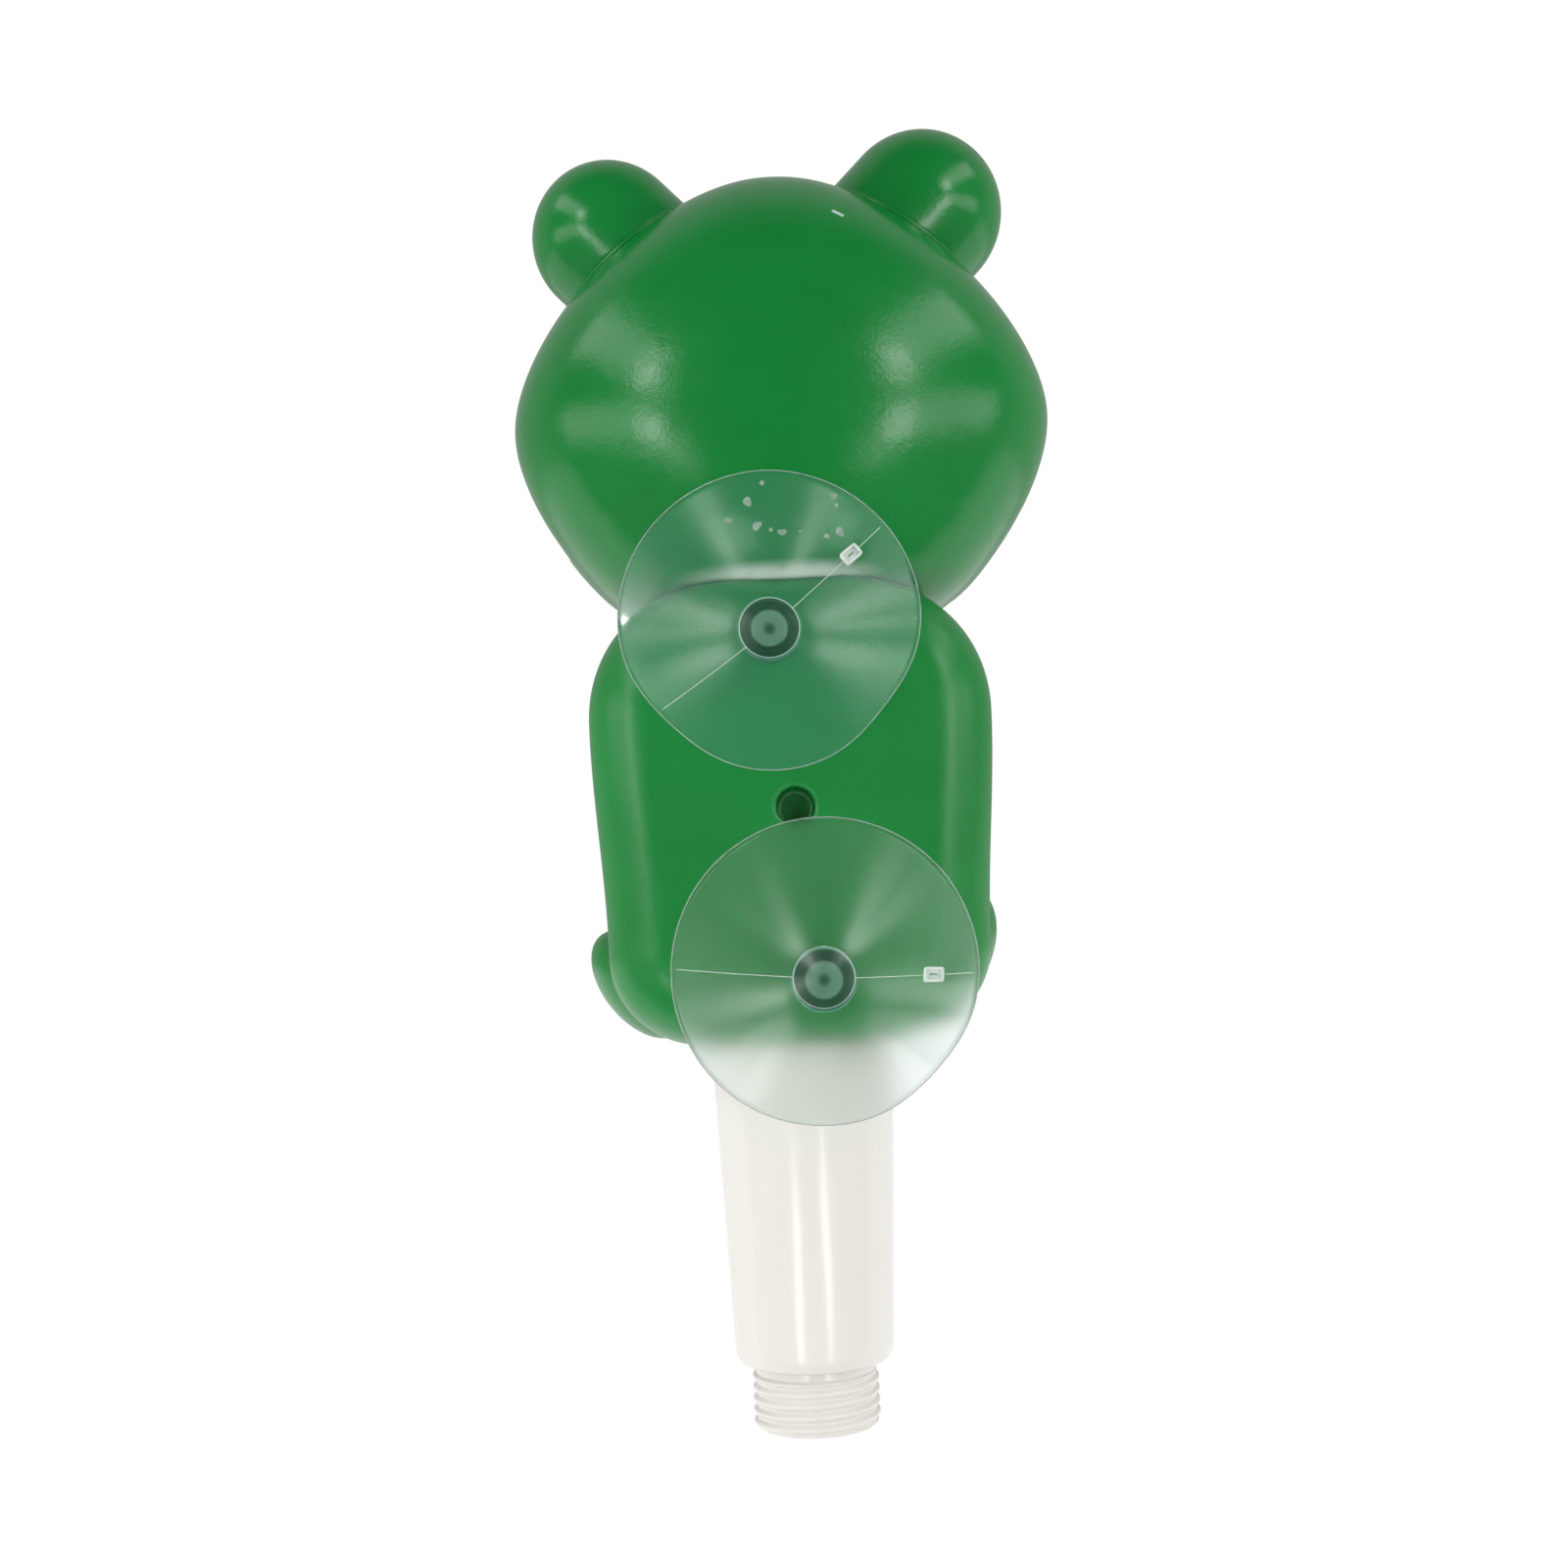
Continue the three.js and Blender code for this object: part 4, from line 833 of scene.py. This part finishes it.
def makeCup(name, body, node, across, level, own, drops=()):
    # the soft bowl is pulled in at some turns, waves a little and sags
    def seated(a, b, h):
        radius, turn = np.hypot(a, b), np.arctan2(b, a)
        share = eased(radius, cup["hub"], cup["rim"])
        squash = 1.0
        for pull, amount in own["pulls"]:
            off = np.angle(np.exp(1j * (turn - math.radians(pull))))
            squash = squash - share * amount * np.exp(-((off / cup["pullWidth"]) ** 2))
        wave = share * own["wave"] * np.cos(2 * (turn - math.radians(own["pulls"][0][0])))
        sag = own["rise"] * np.clip((h - cup["hubHigh"]) / (cup["rimHigh"] - cup["hubHigh"]), 0, 1)
        return np.stack([across + a * squash, h - np.abs(wave), level + sag + b * squash], -1)

    way = np.array([math.cos(math.radians(own["line"])), math.sin(math.radians(own["line"]))])

    # a place along the mould line and beside it
    def alongLine(along, beside, high):
        return seated(along * way[0] - beside * way[1], along * way[1] + beside * way[0], high)

    # a thin bead all round the bowl
    def bead(out, high, thick):
        return wrapped([ring(out + thick * math.cos(t), high + thick * math.sin(t), turns(cup["facets"]), seated)
                        for t in np.linspace(0, fullTurn, 9)])

    makePiece(name, [spun(cupPath(), cup["facets"], seated)], clearFinish(name + "Finish", across, level, own),
              body, [node])
    # the mould line: a hairline ridge from the hub to the rim on both sides of the bowl's inner face
    lines = []
    outEnd = cup["lip"] - trim["lineEnd"]
    for run in (np.linspace(cup["hub"], outEnd, 50), np.linspace(-outEnd, -cup["hub"], 50)):
        ridge = np.array([alongLine(run, trim["line"] * math.cos(t),
                                    bowlInside(np.abs(run)) + trim["line"] * math.sin(t))
                          for t in np.linspace(0, fullTurn, 7)])
        n, m = ridge.shape[:2]
        i, j = np.meshgrid(np.arange(n - 1) * m, np.arange(m - 1), indexing="ij")
        quads = np.stack([i + j, i + m + j, i + m + j + 1, i + j + 1], -1)
        lines.append((ridge.reshape(-1, 3), quads.reshape(-1, 4)))
    # the pull tab: a small tray on that line
    pad = []
    turn = turns(48)
    c, s = np.cos(turn), np.sin(turn)
    for height, inset in ((trim["tabRoot"], 0.0), (trim["tabHigh"], 0.0), (trim["tabHigh"], trim["tabWall"]),
                          (trim["tabFloor"], trim["tabFloorIn"]), (trim["tabFloor"], trim["tabMiddle"])):
        a = trim["tabOut"] + (trim["tabLong"] / 2 - inset) * np.sign(c) * np.abs(c) ** trim["tabSquare"]
        b = (trim["tabWide"] / 2 - inset) * np.sign(s) * np.abs(s) ** trim["tabSquare"]
        pad.append(alongLine(a, b, bowlInside(trim["tabOut"]) + height + 0 * a))
    # a pale bead round the hub's edge: a painted highlight line
    hubHighlightRing = bead(cup["hub"], bowlInside(cup["hub"]), trim["ring"])
    makePiece(name + "Tab", [wrapped(pad), hubHighlightRing, *lines], frost["frostedTabAndHubHighlight"], body)
    # a pale bead along the rim: a painted highlight line
    edge = bead(cup["rim"] - trim["edge"], cup["rimHigh"] - trim["edgeSunk"], trim["edge"])
    makePiece(name + "Edge", [edge], frost["rimEdge"], body)
    # dried drops of water on the bowl's inner face
    spots = []
    turn = turns(18)
    for aside, above, size, stretch, lean in drops:
        c, s = math.cos(math.radians(lean)), math.sin(math.radians(lean))
        wobble = size * (1 + drop["wobble"] * np.cos(3 * turn + lean))
        along, wide = wobble * np.sqrt(stretch) * np.cos(turn), wobble / np.sqrt(stretch) * np.sin(turn)
        dome = []
        for share, high in drop["dome"]:
            a, b = aside + share * (along * c - wide * s), above + share * (along * s + wide * c)
            dome.append(seated(a, b, bowlInside(np.hypot(a, b)) + high * size))
        spots.append(wrapped(dome))
    if spots:
        makePiece(name + "Drops", spots, frost["driedDrops"], body)


makeCup("cupUpper", "upper_cup", "suction_cup_upper", *socket["places"][0],
        {"pulls": ((-45, 0.05), (-140, 0.055)), "wave": 0.4, "rise": 0.0, "line": 142, "blur": 0.2, "gloss": 0.55,
         "haze": 0.033}, drop["places"])
makeCup("cupLower", "lower_cup", "suction_cup_lower", *socket["places"][2],
        {"pulls": ((-90, 0.01), (-135, 0.045)), "wave": 0.5, "rise": 1.5, "line": 183, "blur": 0.60, "gloss": 0.7,
         "haze": 0.004})
print("cups made")

# CAD pieces that stay, with their own finishes
kept = {"innerPlastic": ["water_pipe", "flow_restrictor", "spray_chamber"],
        "sealRubber": ["pipe_ring_lower", "pipe_ring_upper", "restrictor_ring", "face_seal", "screw_seal"],
        "steel": ["handle_screw_right", "handle_screw_left", "face_screw"]}
for finishName, names in kept.items():
    for name in names:
        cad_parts[name].material_slots[0].material = inner[finishName]

# studio: soft boxes on each side, brightest at their inner ends, small ones from below, and wide washes that
# don't mirror; each box is (azimuth, elevation, half turn, half rise, distance, radiance, spin)
studio = {"fill": 0.47, "mirrorAhead": 0.04, "mirrorBehind": 0.4, "behind": (0.25, -0.30), "swing": 2.0,
          "aim": (0.0, -0.04, 0.02),
          "sides": ((57.5, 38.0, 24.0, 6.5, 0.62, 2.2, -25.0), (57.5, 9.0, 24.0, 6.5, 0.62, 2.0, -4.0),
                    (36.5, 24.5, 4.5, 5.0, 0.62, 6.0, -15.0), (36.5, 6.0, 4.5, 5.0, 0.62, 6.0, 0.0),
                    (29.0, -2.0, 4.0, 5.0, 0.62, 2.4, 0.0)),
          "low": ((17.5, -30.0, 4.0, 6.0, 0.36, 6.0, -30.0), (-22.0, -28.0, 4.0, 6.0, 0.36, 6.0, 38.0)),
          "wash": ((66.0, -28.0, 24.0, 24.0, 0.55, 2.5, 0.0), (-76.0, -12.0, 24.0, 24.0, 0.60, 1.5, 0.0),
                   (180.0, 25.0, 30.0, 24.0, 0.70, 1.0, 0.0))}
world = bpy.data.worlds.new("studio")
scene.world = world
air = Finish("studio", world)
behind = air.between(air.split(air.add("ShaderNodeTexCoord", out="Generated"), 1), *studio["behind"])
seen = air.lightPath("Is Camera Ray") + air.lightPath("Is Transmission Ray") * behind
mirrored = air.lightPath("Is Glossy Ray")
level = seen + (1 - seen) * (mirrored * (studio["mirrorAhead"] + studio["mirrorBehind"] * behind)
                             + (1 - mirrored) * studio["fill"])
air.done(air.add("ShaderNodeBackground", {}, {"Color": colour(1, 1, 1), "Strength": level}),
         "ShaderNodeOutputWorld")

# seen directly the floor glows white; in reflections it is white behind the object and dark ahead of it
ground = {"level": -0.30, "half": 4.0, "first": (0.80, 0.80, 0.80), "second": (0.84, 0.84, 0.84), "rough": 0.8,
          "ahead": (-0.10, 0.12), "dark": (0.05, 0.05, 0.05), "glow": 1.04, "share": 0.95}
floorFinish = Finish("paleFloor")
paper = floorFinish.add("ShaderNodeBsdfPrincipled", {}, {
    "Base Color": floorFinish.mixColour(floorFinish.noise(6.0, 3.0), colour(*ground["first"]),
                                        colour(*ground["second"])),
    "Roughness": ground["rough"]})
mirror = floorFinish.lightPath("Is Glossy Ray")
ahead = floorFinish.between(floorFinish.split(floorFinish.place(), 1), *ground["ahead"])
shown = floorFinish.mixColour(mirror * ahead, colour(1, 1, 1), colour(*ground["dark"]))
glow = floorFinish.add("ShaderNodeEmission", {}, {"Color": shown, "Strength": ground["glow"]})
direct = floorFinish.add("ShaderNodeMath", {"operation": "MAXIMUM"}, {
    0: floorFinish.lightPath("Is Camera Ray"), 1: floorFinish.lightPath("Is Transmission Ray")})
direct = direct + (1 - direct) * mirror
floorMesh = bpy.data.meshes.new("floor")
floorMesh.from_pydata([(x * ground["half"], y * ground["half"], ground["level"])
                       for x, y in ((-1, -1), (1, -1), (1, 1), (-1, 1))], [], [(0, 1, 2, 3)])
floorMesh.materials.append(floorFinish.done(floorFinish.mixShader(ground["share"] * direct, paper, glow)))
floor = bpy.data.objects.new("floor", floorMesh)
scene.collection.objects.link(floor)

otherSides = [(-box[0], *box[1:6], -box[6]) for box in studio["sides"]]
boxes = [*studio["sides"], *otherSides, *studio["low"], *studio["wash"]]
for number, (turn, rise, halfTurn, halfRise, distance, radiance, spin) in enumerate(boxes):
    light = bpy.data.lights.new(f"box{number}", "AREA")
    light.shape = "RECTANGLE"
    light.size = 2 * distance * math.tan(math.radians(halfTurn))
    light.size_y = 2 * distance * math.tan(math.radians(halfRise))
    light.energy = radiance * math.pi * light.size * light.size_y
    lamp = bpy.data.objects.new(f"box{number}", light)
    scene.collection.objects.link(lamp)
    a, e = math.radians(turn + studio["swing"]), math.radians(rise)
    away = Vector((math.sin(a) * math.cos(e), math.cos(a) * math.cos(e), math.sin(e)))
    lamp.location = Vector(studio["aim"]) + away * distance
    lamp.rotation_mode = "QUATERNION"
    lamp.rotation_quaternion = away.to_track_quat("Z", "Y") @ Quaternion((0, 0, 1), math.radians(spin))
    lamp.visible_camera = False
    lamp.visible_glossy = number < len(boxes) - len(studio["wash"])
print("studio made")

# camera, from where the thread and the back lie in the picture
shot = {"lens": 40.5, "sensor": 36.0, "pitch": 5.0, "roll": 2.4, "yaw": 1.0, "mark": (0.0, -0.040, -0.0955),
        "markPixel": (833.5, 1420.0), "focal": 1800.0, "half": 800.0, "depth": 0.2924}
pitch, roll = math.radians(shot["pitch"]), math.radians(shot["roll"])
right = Vector((-math.cos(roll), -math.sin(pitch) * math.sin(roll), -math.cos(pitch) * math.sin(roll)))
up = Vector((-math.sin(roll), math.sin(pitch) * math.cos(roll), math.cos(pitch) * math.cos(roll)))
toCamera = Vector((0, math.cos(pitch), -math.sin(pitch)))
aside = Matrix.Rotation(-math.radians(shot["yaw"]), 3, "Z")
right, up, toCamera = aside @ right, aside @ up, aside @ toCamera
pixelX, pixelY = shot["markPixel"]
offset = [(pixelX - shot["half"]) / shot["focal"] * shot["depth"],
          -(pixelY - shot["half"]) / shot["focal"] * shot["depth"], -shot["depth"]]
eyePoint = Vector(shot["mark"]) - (right * offset[0] + up * offset[1] + toCamera * offset[2])
cameraData = bpy.data.cameras.new("camera")
cameraData.lens = shot["lens"]
cameraData.sensor_width = shot["sensor"]
cameraData.clip_start = 0.01
camera = bpy.data.objects.new("camera", cameraData)
scene.collection.objects.link(camera)
camera.matrix_world = Matrix.Translation(eyePoint) @ Matrix((right, up, toCamera)).transposed().to_4x4()
scene.camera = camera
print("camera set")
